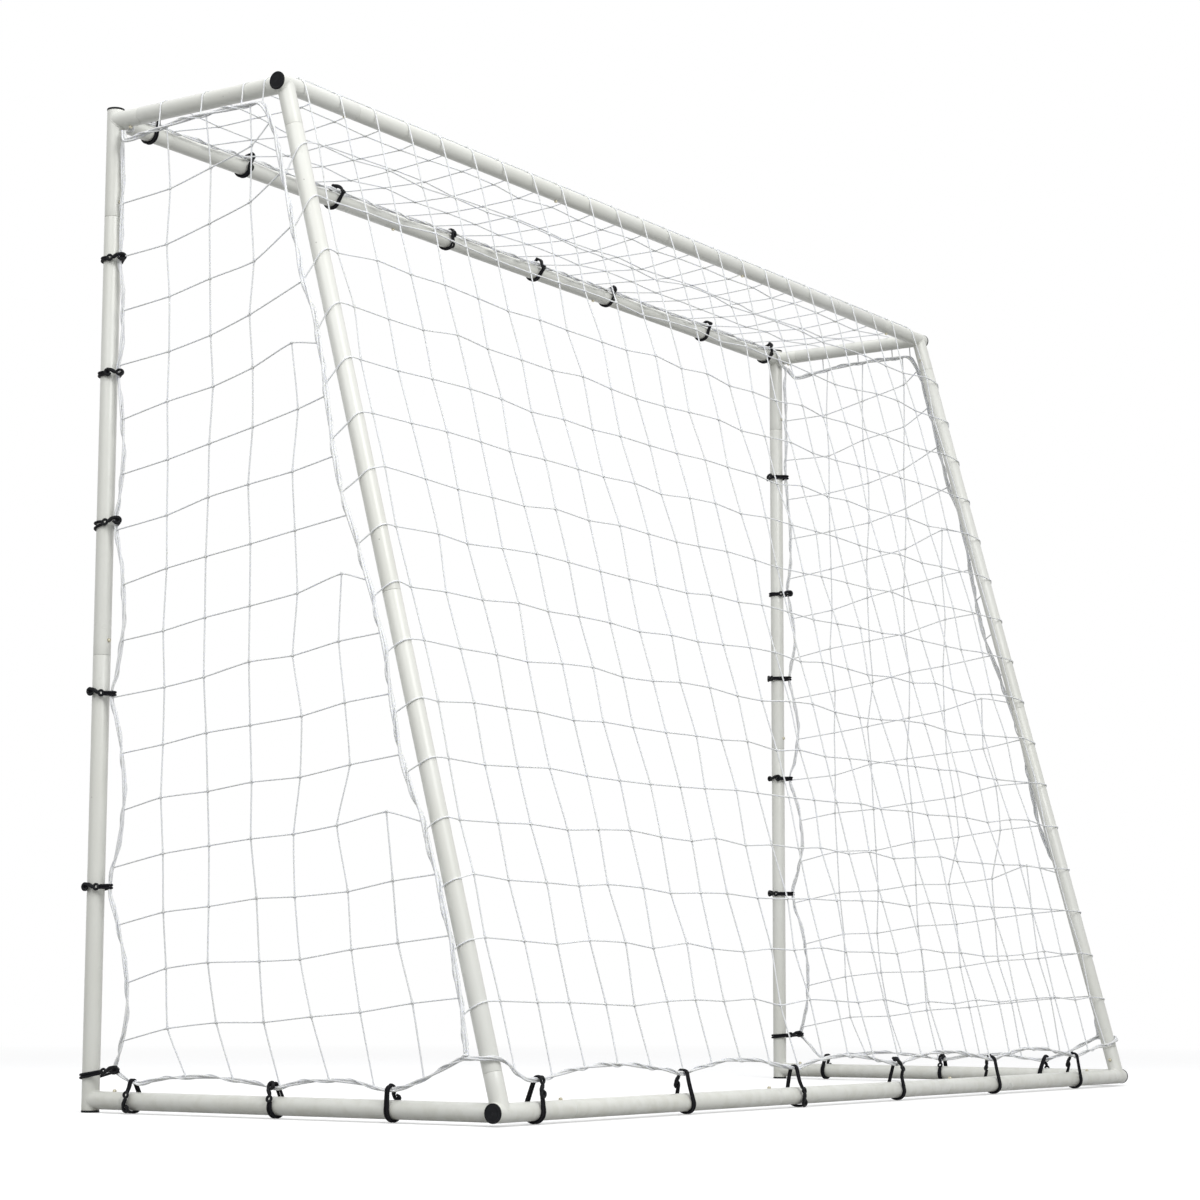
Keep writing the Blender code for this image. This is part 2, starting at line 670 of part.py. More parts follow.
def build_top_net(columns, material):
    """Top panel: from the crossbar over the side bars to the shoulder of the rear top bar."""
    drape = (TUBE_RADIUS * CORNER_FACTOR + CLEARANCE + STRAND / 2) * 1.06
    front_y = FRONT_Y + NET_STANDOFF
    edge = between(
        Vector((0, FRONT_Y + CORNER_RELIEF, 0)), Vector((0, REAR_TOP_Y - CORNER_RELIEF, 0)), TOP_ROWS + 1)
    grid = []
    for row, held in enumerate(edge):
        points = []
        for index, (x, _, turns) in enumerate(columns):
            if turns:
                points.append(Vector((x, held.y, TOP_Z + TURN_STANDOFF)))
            elif row < TOP_ROWS:
                y = front_y + (REAR_TOP_Y - front_y) * row / TOP_ROWS
                points.append(Vector((x, y, TOP_Z + NET_STANDOFF)))
            else:
                beside_turn = columns[index - 1][2] or columns[index + 1][2]
                angles = END_CREST_ANGLES if beside_turn else CREST_ANGLES
                crest = math.radians(angles[row - TOP_ROWS])
                y = REAR_TOP_Y + drape * math.cos(crest)
                points.append(Vector((x, y, TOP_Z + drape * math.sin(crest))))
        grid.append(points)
    net = net_panel("net_top", grid, {(0, i) for i in range(len(columns))}, material)
    for along in along_bar(CROSSBAR_TIES, MOUTH_WIDTH):
        tie_on(net, grid[0], Vector((SIDE_X - along, FRONT_Y, TOP_Z)), RIGHT, (REAR + UP).normalized())
    return net


def build_nets(material):
    """All four panels, with the main panels' columns set out from the rear ties."""
    edge_x = SIDE_X + SEAM_STANDOFF - (ROPE + STRAND) / 2 - 2 * CLEARANCE
    columns = [(edge_x, NET_CORNER_HEIGHT, True)]
    rear_ties = along_bar(REAR_TIES, MOUTH_WIDTH)
    for along, height in scallop(rear_ties, REAR_ROPE_NEAR, REAR_ROPE_FAR):
        columns.append((SIDE_X - along, height, False))
    columns.append((-edge_x, NET_CORNER_HEIGHT, True))
    build_rear_net(columns, material)
    build_rear_rope(columns, material)
    build_top_net(columns, material)
    hand_tied = ((LEFT_POST_TIES, LEFT_SIDE_TIES), (RIGHT_POST_TIES, RIGHT_SIDE_TIES))
    for (side, sign), (post_ties, side_ties) in zip(SIDES, hand_tied):
        down_post = along_bar(post_ties, MOUTH_HEIGHT)
        build_side_net(side, sign, down_post, along_bar(side_ties, GROUND_DEPTH), material)


def main():
    """Build the goal."""
    clear_scene()
    steel = finish("cream powder coat", (0.75, 0.76, 0.71), 0.38, 0.0)
    plastic = finish("black moulded plastic", (0.012, 0.013, 0.018), 0.5, 0.0)
    zinc = finish("zinc-plated spring steel", (0.55, 0.53, 0.45), 0.35, 0.9)
    cord = finish("white netting cord", (0.86, 0.88, 0.9), 0.85, 0.0)

    seams = []
    corners = [build_side(side, sign, steel, seams) for side, sign in SIDES]
    for side, sign in SIDES:
        build_caps(side, sign, plastic)
    build_crossbar([corner[0] for corner in corners], steel, seams)
    build_rear_bar(
        "rear_top", REAR_TOP_Y, TOP_Z, -UP, [corner[1] for corner in corners], steel, seams)
    build_rear_bar(
        "rear_ground", REAR_GROUND_Y, GROUND_Z, UP, [corner[2] for corner in corners], steel, seams)
    button_mesh = snap_button_mesh(zinc)
    for seam in seams:
        add_button(seam, button_mesh)
    build_nets(cord)


main()
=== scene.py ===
"""Steel football goal with a draped net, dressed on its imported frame.

Frame: +X along the crossbar, +Y from the mouth to the rear, +Z up, origin on the floor under the
middle. Sizes are in metres.
"""

import logging
import math
import random
from collections.abc import Callable
from dataclasses import dataclass, field
from enum import Enum

import bmesh
import bpy
from bmesh.types import BMesh
from bpy.types import Material, Mesh, Node, NodeSocket, NodeTree, Object
from mathutils import Matrix, Vector


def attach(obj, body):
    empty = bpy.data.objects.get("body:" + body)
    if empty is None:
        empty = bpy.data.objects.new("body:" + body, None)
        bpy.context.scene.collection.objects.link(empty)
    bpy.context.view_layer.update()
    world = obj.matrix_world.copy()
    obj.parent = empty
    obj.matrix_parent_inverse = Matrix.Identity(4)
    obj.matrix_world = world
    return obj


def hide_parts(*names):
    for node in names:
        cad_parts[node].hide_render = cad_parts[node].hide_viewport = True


LOG = logging.getLogger("goal")
RIGHT = Vector((1, 0, 0))
REAR = Vector((0, 1, 0))
UP = Vector((0, 0, 1))
WHITE = (1, 1, 1, 1)
SKEW = Vector((0.3, 0.5, 0.81))  # a direction that no cord runs along
CREASE = math.radians(35)  # past this angle an edge stays sharp

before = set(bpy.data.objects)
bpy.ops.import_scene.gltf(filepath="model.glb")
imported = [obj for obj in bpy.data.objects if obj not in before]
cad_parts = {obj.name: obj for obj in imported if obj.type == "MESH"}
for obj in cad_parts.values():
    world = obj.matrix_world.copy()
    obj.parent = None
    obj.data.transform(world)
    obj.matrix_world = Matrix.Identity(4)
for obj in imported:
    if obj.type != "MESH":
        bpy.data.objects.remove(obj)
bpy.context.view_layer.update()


class Side(Enum):
    """A side of the goal, as seen from the pitch in front of the mouth."""

    LEFT = -1
    RIGHT = 1

    @property
    def label(self) -> str:
        """The side's name as it stands at the end of node names."""
        return self.name.lower()

    def pick(self, pair: tuple) -> tuple:
        """This side's one of a left and right pair."""
        return pair[0] if self is Side.LEFT else pair[1]


class TubeEnd(Enum):
    """How a tube ends."""

    BARE = "bare"
    SWAGED = "swaged"
    WELDED = "welded"


# ---- sizes of the whole


@dataclass(frozen=True)
class Layout:
    """Places of the goal's axes, and the tube's own sizes."""

    mouth_width: float = 2.44
    mouth_height: float = 1.80
    top_depth: float = 0.41
    ground_depth: float = 0.90
    ground_z: float = 0.02186
    tube_radius: float = 0.016
    tube_wall: float = 0.0015
    clearance: float = 0.0003
    plug_length: float = 0.046
    button_setback: float = 0.027
    bar_overhang: float = 0.0205  # of the rear bars past the side frames
    post_overhang: float = 0.0195  # of the posts above the crossbar's axis

    @property
    def side_x(self) -> float:
        """Distance of the side frames' axes from the middle."""
        return self.mouth_width / 2

    @property
    def front_y(self) -> float:
        """Y of the mouth's plane."""
        return -self.ground_depth / 2

    @property
    def rear_top_y(self) -> float:
        """Y of the rear top bar."""
        return self.front_y + self.top_depth

    @property
    def rear_ground_y(self) -> float:
        """Y of the rear ground bar."""
        return self.front_y + self.ground_depth

    @property
    def top_z(self) -> float:
        """Height of the crossbar's axis."""
        return self.ground_z + self.mouth_height

    @property
    def stay_run(self) -> float:
        """How far a stay reaches to the rear."""
        return self.ground_depth - self.top_depth

    @property
    def stay_length(self) -> float:
        """Length of a stay between the bars' axes."""
        return math.hypot(self.mouth_height, self.stay_run)

    @property
    def down_stay(self) -> Vector:
        """Unit vector down a stay."""
        return Vector((0, self.stay_run, -self.mouth_height)) / self.stay_length

    @property
    def off_stay(self) -> Vector:
        """Unit vector square to the stays' plane, to the rear."""
        return Vector((0, self.mouth_height, self.stay_run)) / self.stay_length

    def beside(self, side: Side, out: float) -> float:
        """X at a distance outside a side frame's axes."""
        return side.value * (self.side_x + out)

    def at(self, x: float, along: float, height: float) -> Vector:
        """Point from X, the way behind the mouth's plane and the height above the ground bars."""
        return Vector((x, self.front_y + along, self.ground_z + height))

    def on_stay(self, x: float, fall: float, off: float) -> Vector:
        """Point from X, the way down a stay and the distance off the stays' plane."""
        top = Vector((x, self.rear_top_y, self.top_z))
        return top + self.down_stay * fall + self.off_stay * off

    def corners(self, side: Side) -> tuple[Vector, Vector, Vector, Vector]:
        """Axis crossings of one side: front top, front foot, rear top, rear foot."""
        places = (
            (self.front_y, self.top_z), (self.front_y, self.ground_z),
            (self.rear_top_y, self.top_z), (self.rear_ground_y, self.ground_z))
        return tuple(Vector((side.value * self.side_x, y, z)) for y, z in places)


LAYOUT = Layout()


# ---- finishes


class TreeCalls:
    """Short calls to add nodes to a tree."""

    def __init__(self, tree: NodeTree) -> None:
        """Keep the tree that the calls add to."""
        self.tree = tree

    def put(self, target: NodeSocket, value: object) -> None:
        """Set a socket to a value, or link another socket into it."""
        if isinstance(value, NodeSocket):
            self.tree.links.new(value, target)
        else:
            target.default_value = value

    def node(self, kind: str, inputs: dict, **settings: object) -> Node:
        """Add a node.

        Args:
            kind: The node's type name.
            inputs: Values or sockets for its inputs, by name or number.
            settings: The node's own settings.

        Returns:
            The new node.
        """
        made = self.tree.nodes.new(kind)
        for key, value in settings.items():
            setattr(made, key, value)
        for key, value in inputs.items():
            self.put(made.inputs[key], value)
        return made

    def sums(self, operation: str, *values: object) -> NodeSocket:
        """Arithmetic on values or sockets."""
        return self.node("ShaderNodeMath", dict(enumerate(values)), operation=operation).outputs[0]

    def seen(self) -> NodeSocket:
        """1 to the camera, in gloss and through glass, and 0 to the light on surfaces."""
        ray = self.node("ShaderNodeLightPath", {}).outputs
        mirrored = self.sums("MAXIMUM", ray["Is Glossy Ray"], ray["Is Transmission Ray"])
        return self.sums("MAXIMUM", ray["Is Camera Ray"], mirrored)


class Nodes(TreeCalls):
    """Short calls to build a material's node tree."""

    def __init__(self, name: str) -> None:
        """Start a material of that name with its Principled shader."""
        self.material = bpy.data.materials.new(name)
        self.material.use_nodes = True
        super().__init__(self.material.node_tree)
        self.shader = self.tree.nodes["Principled BSDF"]

    def place(self) -> NodeSocket:
        """The object's own coordinates."""
        return self.node("ShaderNodeTexCoord", {}).outputs["Object"]

    def noise(self, scale: float, detail: float) -> NodeSocket:
        """Noise with so many bumps to the metre, and so many finer layers."""
        inputs = {"Vector": self.place(), "Scale": scale, "Detail": detail}
        return self.node("ShaderNodeTexNoise", inputs).outputs["Fac"]

    def span(
            self, value: object, low: float, high: float, to_low: float,
            to_high: float) -> NodeSocket:
        """Map a value's range to another range, with the ends clamped."""
        inputs = {0: value, 1: low, 2: high, 3: to_low, 4: to_high}
        return self.node("ShaderNodeMapRange", inputs).outputs[0]

    def patches(
            self, scale: float, detail: float, low: float, high: float,
            most: float) -> NodeSocket:
        """Soft patches of noise, from 0 where it is low to a most where it is high."""
        return self.span(self.noise(scale, detail), low, high, 0.0, most)

    def roughness(self, scale: float, detail: float, gloss: tuple[float, float]) -> NodeSocket:
        """Roughness that wanders between two values."""
        return self.span(self.noise(scale, detail), 0.3, 0.7, *gloss)

    def mix(self, share: object, first: object, second: object) -> NodeSocket:
        """Mix two colours by a share."""
        inputs = {0: share, 6: first, 7: second}
        return self.node("ShaderNodeMix", inputs, data_type="RGBA").outputs[2]

    def bump(self, height: object, distance: float, strength: float) -> None:
        """Raise the surface by a height, chained on the shader's own bump."""
        inputs = {"Height": height, "Distance": distance, "Strength": strength}
        made = self.node("ShaderNodeBump", inputs)
        old = self.shader.inputs["Normal"].links
        if old:
            self.put(made.inputs["Normal"], old[0].from_socket)
        self.put(self.shader.inputs["Normal"], made.outputs[0])

    def lay(self) -> tuple[NodeSocket, NodeSocket]:
        """Length along a swept cord and angle round it."""
        stored = self.node("ShaderNodeAttribute", {}, attribute_name="lay").outputs["Vector"]
        parts = self.node("ShaderNodeSeparateXYZ", {0: stored}).outputs
        return parts[0], self.sums("ARCTAN2", parts[2], parts[1])

    def finish(self, **inputs: object) -> Material:
        """Set the shader's remaining inputs, with spaces in their names written as underscores."""
        for key, value in inputs.items():
            self.put(self.shader.inputs[key.replace("_", " ")], value)
        return self.material


@dataclass(frozen=True)
class PowderCoat:
    """Cream powder coat on steel: fine orange peel, slight soiling low down, a few dark specks."""

    name: str = "cream powder coat"
    colour: tuple = (0.735, 0.742, 0.700, 1)
    warm: tuple = (0.700, 0.705, 0.650, 1)
    speck: tuple = (0.20, 0.19, 0.17, 1)
    soil: tuple = (0.50, 0.49, 0.40, 1)
    gloss: tuple = (0.27, 0.42)
    soiled_height: float = 0.07
    soiled_rough: float = 0.25
    speck_scale: float = 34.0
    speck_edge: tuple = (0.03, 0.045)  # where a speck fades
    bare_cells: float = 0.9  # share with no speck
    peel_scale: float = 620.0
    peel_depth: float = 0.00006
    flow_scale: float = 90.0
    flow_depth: float = 0.00012

    def material(self) -> Material:
        """Build the finish."""
        n = Nodes(self.name)
        colour = n.mix(n.patches(3.2, 3, 0.38, 0.66, 0.8), self.colour, self.warm)
        height = n.node("ShaderNodeSeparateXYZ", {0: n.place()}).outputs[2]
        low = n.span(height, 0.0, self.soiled_height, 0.32, 0.0)
        grime = n.sums("MULTIPLY", low, n.patches(48, 4, 0.42, 0.62, 1.0))
        colour = n.mix(grime, colour, self.soil)
        cells = {"Vector": n.place(), "Scale": self.speck_scale}
        spots = n.node("ShaderNodeTexVoronoi", cells).outputs
        chance = n.node("ShaderNodeSeparateColor", {0: spots["Color"]}).outputs[0]
        pick = n.sums("GREATER_THAN", chance, self.bare_cells)
        dot = n.sums("MULTIPLY", n.span(spots["Distance"], *self.speck_edge, 0.8, 0.0), pick)
        colour = n.mix(dot, colour, self.speck)
        added = n.sums("MULTIPLY", grime, self.soiled_rough)
        rough = n.sums("ADD", n.roughness(17, 4, self.gloss), added)
        n.bump(n.noise(self.peel_scale, 2), self.peel_depth, 0.55)
        n.bump(n.noise(self.flow_scale, 3), self.flow_depth, 0.25)
        return n.finish(
            Base_Color=colour, Roughness=rough, Coat_Weight=0.12, Coat_Roughness=0.22)


@dataclass(frozen=True)
class MouldedPlastic:
    """Black moulded plastic with a spark-eroded grain and rubbed patches."""

    name: str = "black moulded plastic"
    colour: tuple = (0.0045, 0.0050, 0.0065, 1)
    rubbed: tuple = (0.012, 0.013, 0.015, 1)
    gloss: tuple = (0.38, 0.58)
    grain_scale: float = 1500.0
    grain_depth: float = 0.00008

    def material(self) -> Material:
        """Build the finish."""
        n = Nodes(self.name)
        colour = n.mix(n.patches(130, 4, 0.46, 0.72, 0.9), self.colour, self.rubbed)
        rough = n.roughness(260, 3, self.gloss)
        n.bump(n.noise(self.grain_scale, 3), self.grain_depth, 0.5)
        return n.finish(Base_Color=colour, Roughness=rough, Specular_IOR_Level=0.13)


@dataclass(frozen=True)
class SpringZinc:
    """Zinc plate with a yellow passivation, lightly brushed by use."""

    name: str = "zinc-plated spring steel"
    colour: tuple = (0.60, 0.56, 0.42, 1)
    dull: tuple = (0.36, 0.34, 0.27, 1)
    gloss: tuple = (0.24, 0.46)
    brushed_scale: float = 1300.0
    brushed_depth: float = 0.00004

    def material(self) -> Material:
        """Build the finish."""
        n = Nodes(self.name)
        colour = n.mix(n.patches(420, 4, 0.35, 0.68, 1.0), self.colour, self.dull)
        rough = n.roughness(700, 3, self.gloss)
        n.bump(n.noise(self.brushed_scale, 2), self.brushed_depth, 0.5)
        return n.finish(Base_Color=colour, Roughness=rough, Metallic=0.9)


@dataclass(frozen=True)
class NettingCord:
    """White polypropylene cord: twisted plies, a slight blue tone, painted shade in the hollows
    between the plies.
    """

    name: str = "white netting cord"
    colour: tuple = (0.85, 0.87, 0.89, 1)
    # painted shade: the tone that the hollows between the plies are darkened to
    hollow: tuple = (0.66, 0.68, 0.705, 1)
    aged: tuple = (0.79, 0.795, 0.78, 1)
    gloss: tuple = (0.68, 0.85)
    ply_pitch: float = 0.009
    plies: int = 3
    ply_depth: float = 0.0004
    fibre_scale: float = 2600.0
    fibre_depth: float = 0.00015
    glow_depth: tuple = (0.0022, 0.0022, 0.0024)

    def material(self) -> Material:
        """Build the finish."""
        n = Nodes(self.name)
        length, angle = n.lay()
        turn = n.sums("MULTIPLY", length, math.tau / self.ply_pitch)
        round_ = n.sums("MULTIPLY", angle, float(self.plies))
        ply = n.span(n.sums("SINE", n.sums("ADD", turn, round_)), -1.0, 1.0, 0.0, 1.0)
        colour = n.mix(n.patches(9, 3, 0.4, 0.7, 0.7), self.colour, self.aged)
        # painted shade: the hollows between the plies are darkened
        colour = n.mix(n.span(ply, 0.0, 0.35, 0.75, 0.0), colour, self.hollow)
        n.bump(ply, self.ply_depth, 0.7)
        n.bump(n.noise(self.fibre_scale, 3), self.fibre_depth, 0.6)
        rough = n.roughness(300, 2, self.gloss)
        return n.finish(
            Base_Color=colour, Roughness=rough, Sheen_Weight=0.12, Sheen_Roughness=0.5,
            Subsurface_Weight=0.55, Subsurface_Radius=self.glow_depth, Subsurface_Scale=1.0)


@dataclass(frozen=True)
class ElasticCord:
    """Black braided cover of the elastic ties, with a painted highlight on the braid's raised
    crossings.
    """

    name: str = "black braided elastic"
    colour: tuple = (0.0042, 0.0042, 0.0055, 1)
    # painted highlight: the lighter tone of the braid's raised crossings
    thread: tuple = (0.012, 0.012, 0.015, 1)
    gloss: tuple = (0.55, 0.8)
    braid_pitch: float = 0.0052
    braid_depth: float = 0.0003
    carriers: int = 6

    def material(self) -> Material:
        """Build the finish."""
        n = Nodes(self.name)
        length, angle = n.lay()
        turn = n.sums("MULTIPLY", length, math.tau / self.braid_pitch)
        round_ = n.sums("MULTIPLY", angle, float(self.carriers))
        over, under = (n.sums("SINE", n.sums(way, turn, round_)) for way in ("ADD", "SUBTRACT"))
        braid = n.span(n.sums("MULTIPLY", over, under), -1.0, 1.0, 0.0, 1.0)
        # painted highlight: the braid's raised crossings are lightened
        colour = n.mix(braid, self.colour, self.thread)
        n.bump(braid, self.braid_depth, 0.7)
        rough = n.roughness(900, 2, self.gloss)
        return n.finish(Base_Color=colour, Roughness=rough, Specular_IOR_Level=0.10)


# the second colour is the painted shade in the hollows between the plies
ROPE_CORD = NettingCord(
    "white border rope", (0.89, 0.905, 0.92, 1), (0.76, 0.775, 0.795, 1), (0.85, 0.855, 0.845, 1),
    ply_pitch=0.014)


@dataclass
class Finishes:
    """The goal's materials, each made once."""

    coat: Material = field(default_factory=PowderCoat().material)
    plastic: Material = field(default_factory=MouldedPlastic().material)
    zinc: Material = field(default_factory=SpringZinc().material)
    cord: Material = field(default_factory=NettingCord().material)
    rope: Material = field(default_factory=ROPE_CORD.material)
    elastic: Material = field(default_factory=ElasticCord().material)


# ---- mesh helpers


def in_scene(name: str, data: bpy.types.ID) -> Object:
    """Put data in the scene as an object."""
    made = bpy.data.objects.new(name, data)
    bpy.context.scene.collection.objects.link(made)
    return made


def link(name: str, mesh: Mesh, material: Material | None = None) -> Object:
    """Put a mesh in the scene as an object at the origin.

    Args:
        name: The object's name.
        mesh: Its mesh, with its place in it.
        material: Its finish, if the mesh has none.

    Returns:
        The new object.
    """
    made = in_scene(name, mesh)
    if material and not mesh.materials:
        mesh.materials.append(material)
    return made


def smoothed(mesh: Mesh) -> Mesh:
    """Shade a mesh smooth, with its creases kept sharp."""
    mesh.shade_smooth()
    mesh.set_sharp_from_angle(angle=CREASE)
    return mesh


def shaded(shape: BMesh, name: str) -> Mesh:
    """Turn a bmesh into a smooth mesh with its faces outward, and free it."""
    bmesh.ops.recalc_face_normals(shape, faces=shape.faces)
    mesh = bpy.data.meshes.new(name)
    shape.to_mesh(mesh)
    shape.free()
    return smoothed(mesh)


def baked(worker: Object, name: str) -> Mesh:
    """Turn an object with modifiers into a plain mesh of that name, and remove the object."""
    bpy.context.view_layer.update()
    graph = bpy.context.evaluated_depsgraph_get()
    result = bpy.data.meshes.new_from_object(worker.evaluated_get(graph))
    source = worker.data
    worker.modifiers.clear()
    bpy.data.objects.remove(worker)
    bpy.data.meshes.remove(source)
    result.name = name
    return result


def bridge(shape: BMesh, lower: list, upper: list) -> None:
    """Join two rings by a band of faces. A ring of one point is a pole."""
    sides = max(len(lower), len(upper))
    for index in range(sides):
        after = (index + 1) % sides
        corners = [lower[index % len(lower)], lower[after % len(lower)],
                   upper[after % len(upper)], upper[index % len(upper)]]
        shape.faces.new(list(dict.fromkeys(corners)))


def joined(meshes: list[Mesh], name: str) -> Mesh:
    """Join meshes into one, and remove them.

    Args:
        meshes: The meshes, which share one place and one finish.
        name: Name of the joined mesh.

    Returns:
        The joined mesh.
    """
    shape = bmesh.new()
    for mesh in meshes:
        shape.from_mesh(mesh)
        bpy.data.meshes.remove(mesh)
    result = bpy.data.meshes.new(name)
    shape.to_mesh(result)
    shape.free()
    return result


def turned(profile: list[tuple[float, float]], sides: int, placed: Matrix, name: str) -> Mesh:
    """Turn a closed solid from its outline.

    Args:
        profile: Pairs of height and radius. A radius of 0 at an end closes it in a point.
        sides: Number of sides.
        placed: Where the solid's own axes go.
        name: Name of the mesh.

    Returns:
        The mesh.
    """
    shape = bmesh.new()
    rings = []
    for height, radius in profile:
        angles = [index * math.tau / sides for index in range(sides if radius else 1)]
        rings.append([
            shape.verts.new(placed @ Vector((radius * math.cos(a), radius * math.sin(a), height)))
            for a in angles])
    for lower, upper in zip(rings, rings[1:]):
        bridge(shape, lower, upper)
    for ring in (rings[0], rings[-1]):
        if len(ring) > 1:
            shape.faces.new(ring)
    return shaded(shape, name)


def axes(origin: Vector, z_axis: Vector, x_axis: Vector | None = None) -> Matrix:
    """Matrix that puts a shape's own axes at a place.

    Args:
        origin: Where its origin goes.
        z_axis: Where its +Z points.
        x_axis: Where its +X points, or None for any way square to +Z.

    Returns:
        The matrix.
    """
    z = z_axis.normalized()
    x = x_axis.normalized() if x_axis else z.orthogonal().normalized()
    y = z.cross(x)
    matrix = Matrix((x, y, z)).transposed().to_4x4()
    matrix.translation = origin
    return matrix


def smooth_path(
        points: list[Vector], steps: list[float],
        ease: list[float] | None = None) -> tuple[list[Vector], list[int]]:
    """Run a smooth curve through points.

    Args:
        points: The points.
        steps: Shares of each span at which the curve is sampled, from 0 up.
        ease: How far the curve rounds each point, from 0 for a kink to 1, or None for 1 at all.

    Returns:
        The sampled points, and for each the number of the point that it is, or -1.
    """
    count = len(points)
    made, marks = [], []
    rounding = ease or [1.0] * count
    for index in range(count - 1):
        a, b, c, d = [points[min(max(index + shift, 0), count - 1)] for shift in (-1, 0, 1, 2)]
        chord = (c - b).length
        before = (c - a) * (chord / ((b - a).length + chord))
        after = (d - b) * (chord / ((d - c).length + chord))
        before = before.lerp(c - b, 1 - rounding[index])
        after = after.lerp(c - b, 1 - rounding[index + 1])
        for share in steps:
            t2, t3 = share * share, share ** 3
            made.append(b * (2 * t3 - 3 * t2 + 1) + before * (t3 - 2 * t2 + share)
                        + c * (3 * t2 - 2 * t3) + after * (t3 - t2))
            marks.append(index if share == 0 else -1)
    made.append(points[-1].copy())
    marks.append(count - 1)
    return made, marks


def even_steps(points: list[Vector], pitch: float) -> list[float]:
    """Shares of a span that sample a path about every pitch."""
    longest = max((b - a).length for a, b in zip(points, points[1:]))
    count = max(math.ceil(longest / pitch), 1)
    return [index / count for index in range(count)]


def clamped(value: float, low: float, high: float) -> float:
    """A value kept between two others."""
    return min(max(value, low), high)


def evenly(start: float, pitch: float, count: int) -> list[float]:
    """So many numbers from a start, a pitch apart."""
    return [start + pitch * index for index in range(count)]


# ---- swept cords and beads


class SweepTree(TreeCalls):
    """The node tree that sweeps a lobed, twisting, rippling section along polylines."""

    sizes = (
        ("Sides", "NodeSocketInt", 6),
        ("Lobes", "NodeSocketInt", 3),
        ("Lobe depth", "NodeSocketFloat", 0.0),
        ("Twist pitch", "NodeSocketFloat", 1000.0),
        ("Ripple pitch", "NodeSocketFloat", 1000.0),
        ("Ripple depth", "NodeSocketFloat", 0.0),
    )

    def __init__(self) -> None:
        """Build the tree."""
        super().__init__(bpy.data.node_groups.new("sweep along paths", "GeometryNodeTree"))
        sockets = self.tree.interface
        sockets.new_socket("Geometry", in_out="INPUT", socket_type="NodeSocketGeometry")
        for name, kind, default in self.sizes:
            socket = sockets.new_socket(name, in_out="INPUT", socket_type=kind)
            socket.default_value = default
        sockets.new_socket("Finish", in_out="INPUT", socket_type="NodeSocketMaterial")
        sockets.new_socket("Geometry", in_out="OUTPUT", socket_type="NodeSocketGeometry")
        given = self.node("NodeGroupInput", {}).outputs
        section, place = self.section(given)
        curve = self.node("GeometryNodeMeshToCurve", {0: given["Geometry"]}).outputs[0]
        length = self.node("GeometryNodeSplineParameter", {}).outputs["Length"]
        curve, travel = self.kept(curve, "FLOAT", length)
        girth = self.node(
            "GeometryNodeInputNamedAttribute", {"Name": "girth"}, data_type="FLOAT").outputs[0]
        wave = self.sums("SINE", self.turns(length, given["Ripple pitch"]))
        swing = self.sums("MULTIPLY", wave, given["Ripple depth"])
        radius = self.sums("MULTIPLY", girth, self.sums("ADD", swing, 1.0))
        tilt = self.turns(length, given["Twist pitch"])
        tilted = self.node("GeometryNodeSetCurveTilt", {0: curve, "Tilt": tilt}).outputs[0]
        curve, radius = self.kept(tilted, "FLOAT", radius)
        inputs = {"Curve": curve, "Profile Curve": section, "Scale": radius, "Fill Caps": True}
        swept = self.node("GeometryNodeCurveToMesh", inputs).outputs[0]
        parts = self.node("ShaderNodeSeparateXYZ", {0: place}).outputs
        lay = self.node("ShaderNodeCombineXYZ", {0: travel, 1: parts[0], 2: parts[1]}).outputs[0]
        stored = self.node(
            "GeometryNodeStoreNamedAttribute", {0: swept, "Name": "lay", "Value": lay},
            data_type="FLOAT_VECTOR").outputs[0]
        smooth = self.node("GeometryNodeSetShadeSmooth", {0: stored, "Shade Smooth": True})
        real = self.node("GeometryNodeRealizeInstances", {0: smooth.outputs[0]}).outputs[0]
        dressed = self.node("GeometryNodeSetMaterial", {0: real, "Material": given["Finish"]})
        self.node("NodeGroupOutput", {0: dressed.outputs[0]})

    def kept(
            self, geometry: NodeSocket, kind: str,
            value: NodeSocket) -> tuple[NodeSocket, NodeSocket]:
        """Capture a value of some kind on a geometry, and return both as they come out."""
        made = self.tree.nodes.new("GeometryNodeCaptureAttribute")
        made.capture_items.new(kind, "Value")
        self.put(made.inputs[0], geometry)
        self.put(made.inputs[1], value)
        return made.outputs[0], made.outputs[1]

    def turns(self, length: NodeSocket, pitch: NodeSocket) -> NodeSocket:
        """Angle after a length, at one turn to the pitch."""
        return self.sums("MULTIPLY", self.sums("DIVIDE", length, pitch), math.tau)

    def section(self, given: bpy.types.bpy_prop_collection) -> tuple[NodeSocket, NodeSocket]:
        """The section: a circle of radius 1 drawn out into lobes, with its place captured.

        Args:
            given: The tree's inputs.

        Returns:
            The section's curve, and the place round the circle kept on it.
        """
        size = {"Resolution": given["Sides"], "Radius": 1.0}
        circle = self.node("GeometryNodeCurvePrimitiveCircle", size).outputs[0]
        place = self.node("GeometryNodeInputPosition", {}).outputs[0]
        circle, kept = self.kept(circle, "VECTOR", place)
        parts = self.node("ShaderNodeSeparateXYZ", {0: place}).outputs
        angle = self.sums("ARCTAN2", parts[1], parts[0])
        wave = self.sums("COSINE", self.sums("MULTIPLY", angle, given["Lobes"]))
        reach = self.sums("MULTIPLY", wave, given["Lobe depth"])
        shift = self.node("ShaderNodeVectorMath", {0: place, 3: reach}, operation="SCALE")
        moved = self.node("GeometryNodeSetPosition", {0: circle, "Offset": shift.outputs[0]})
        return moved.outputs[0], kept


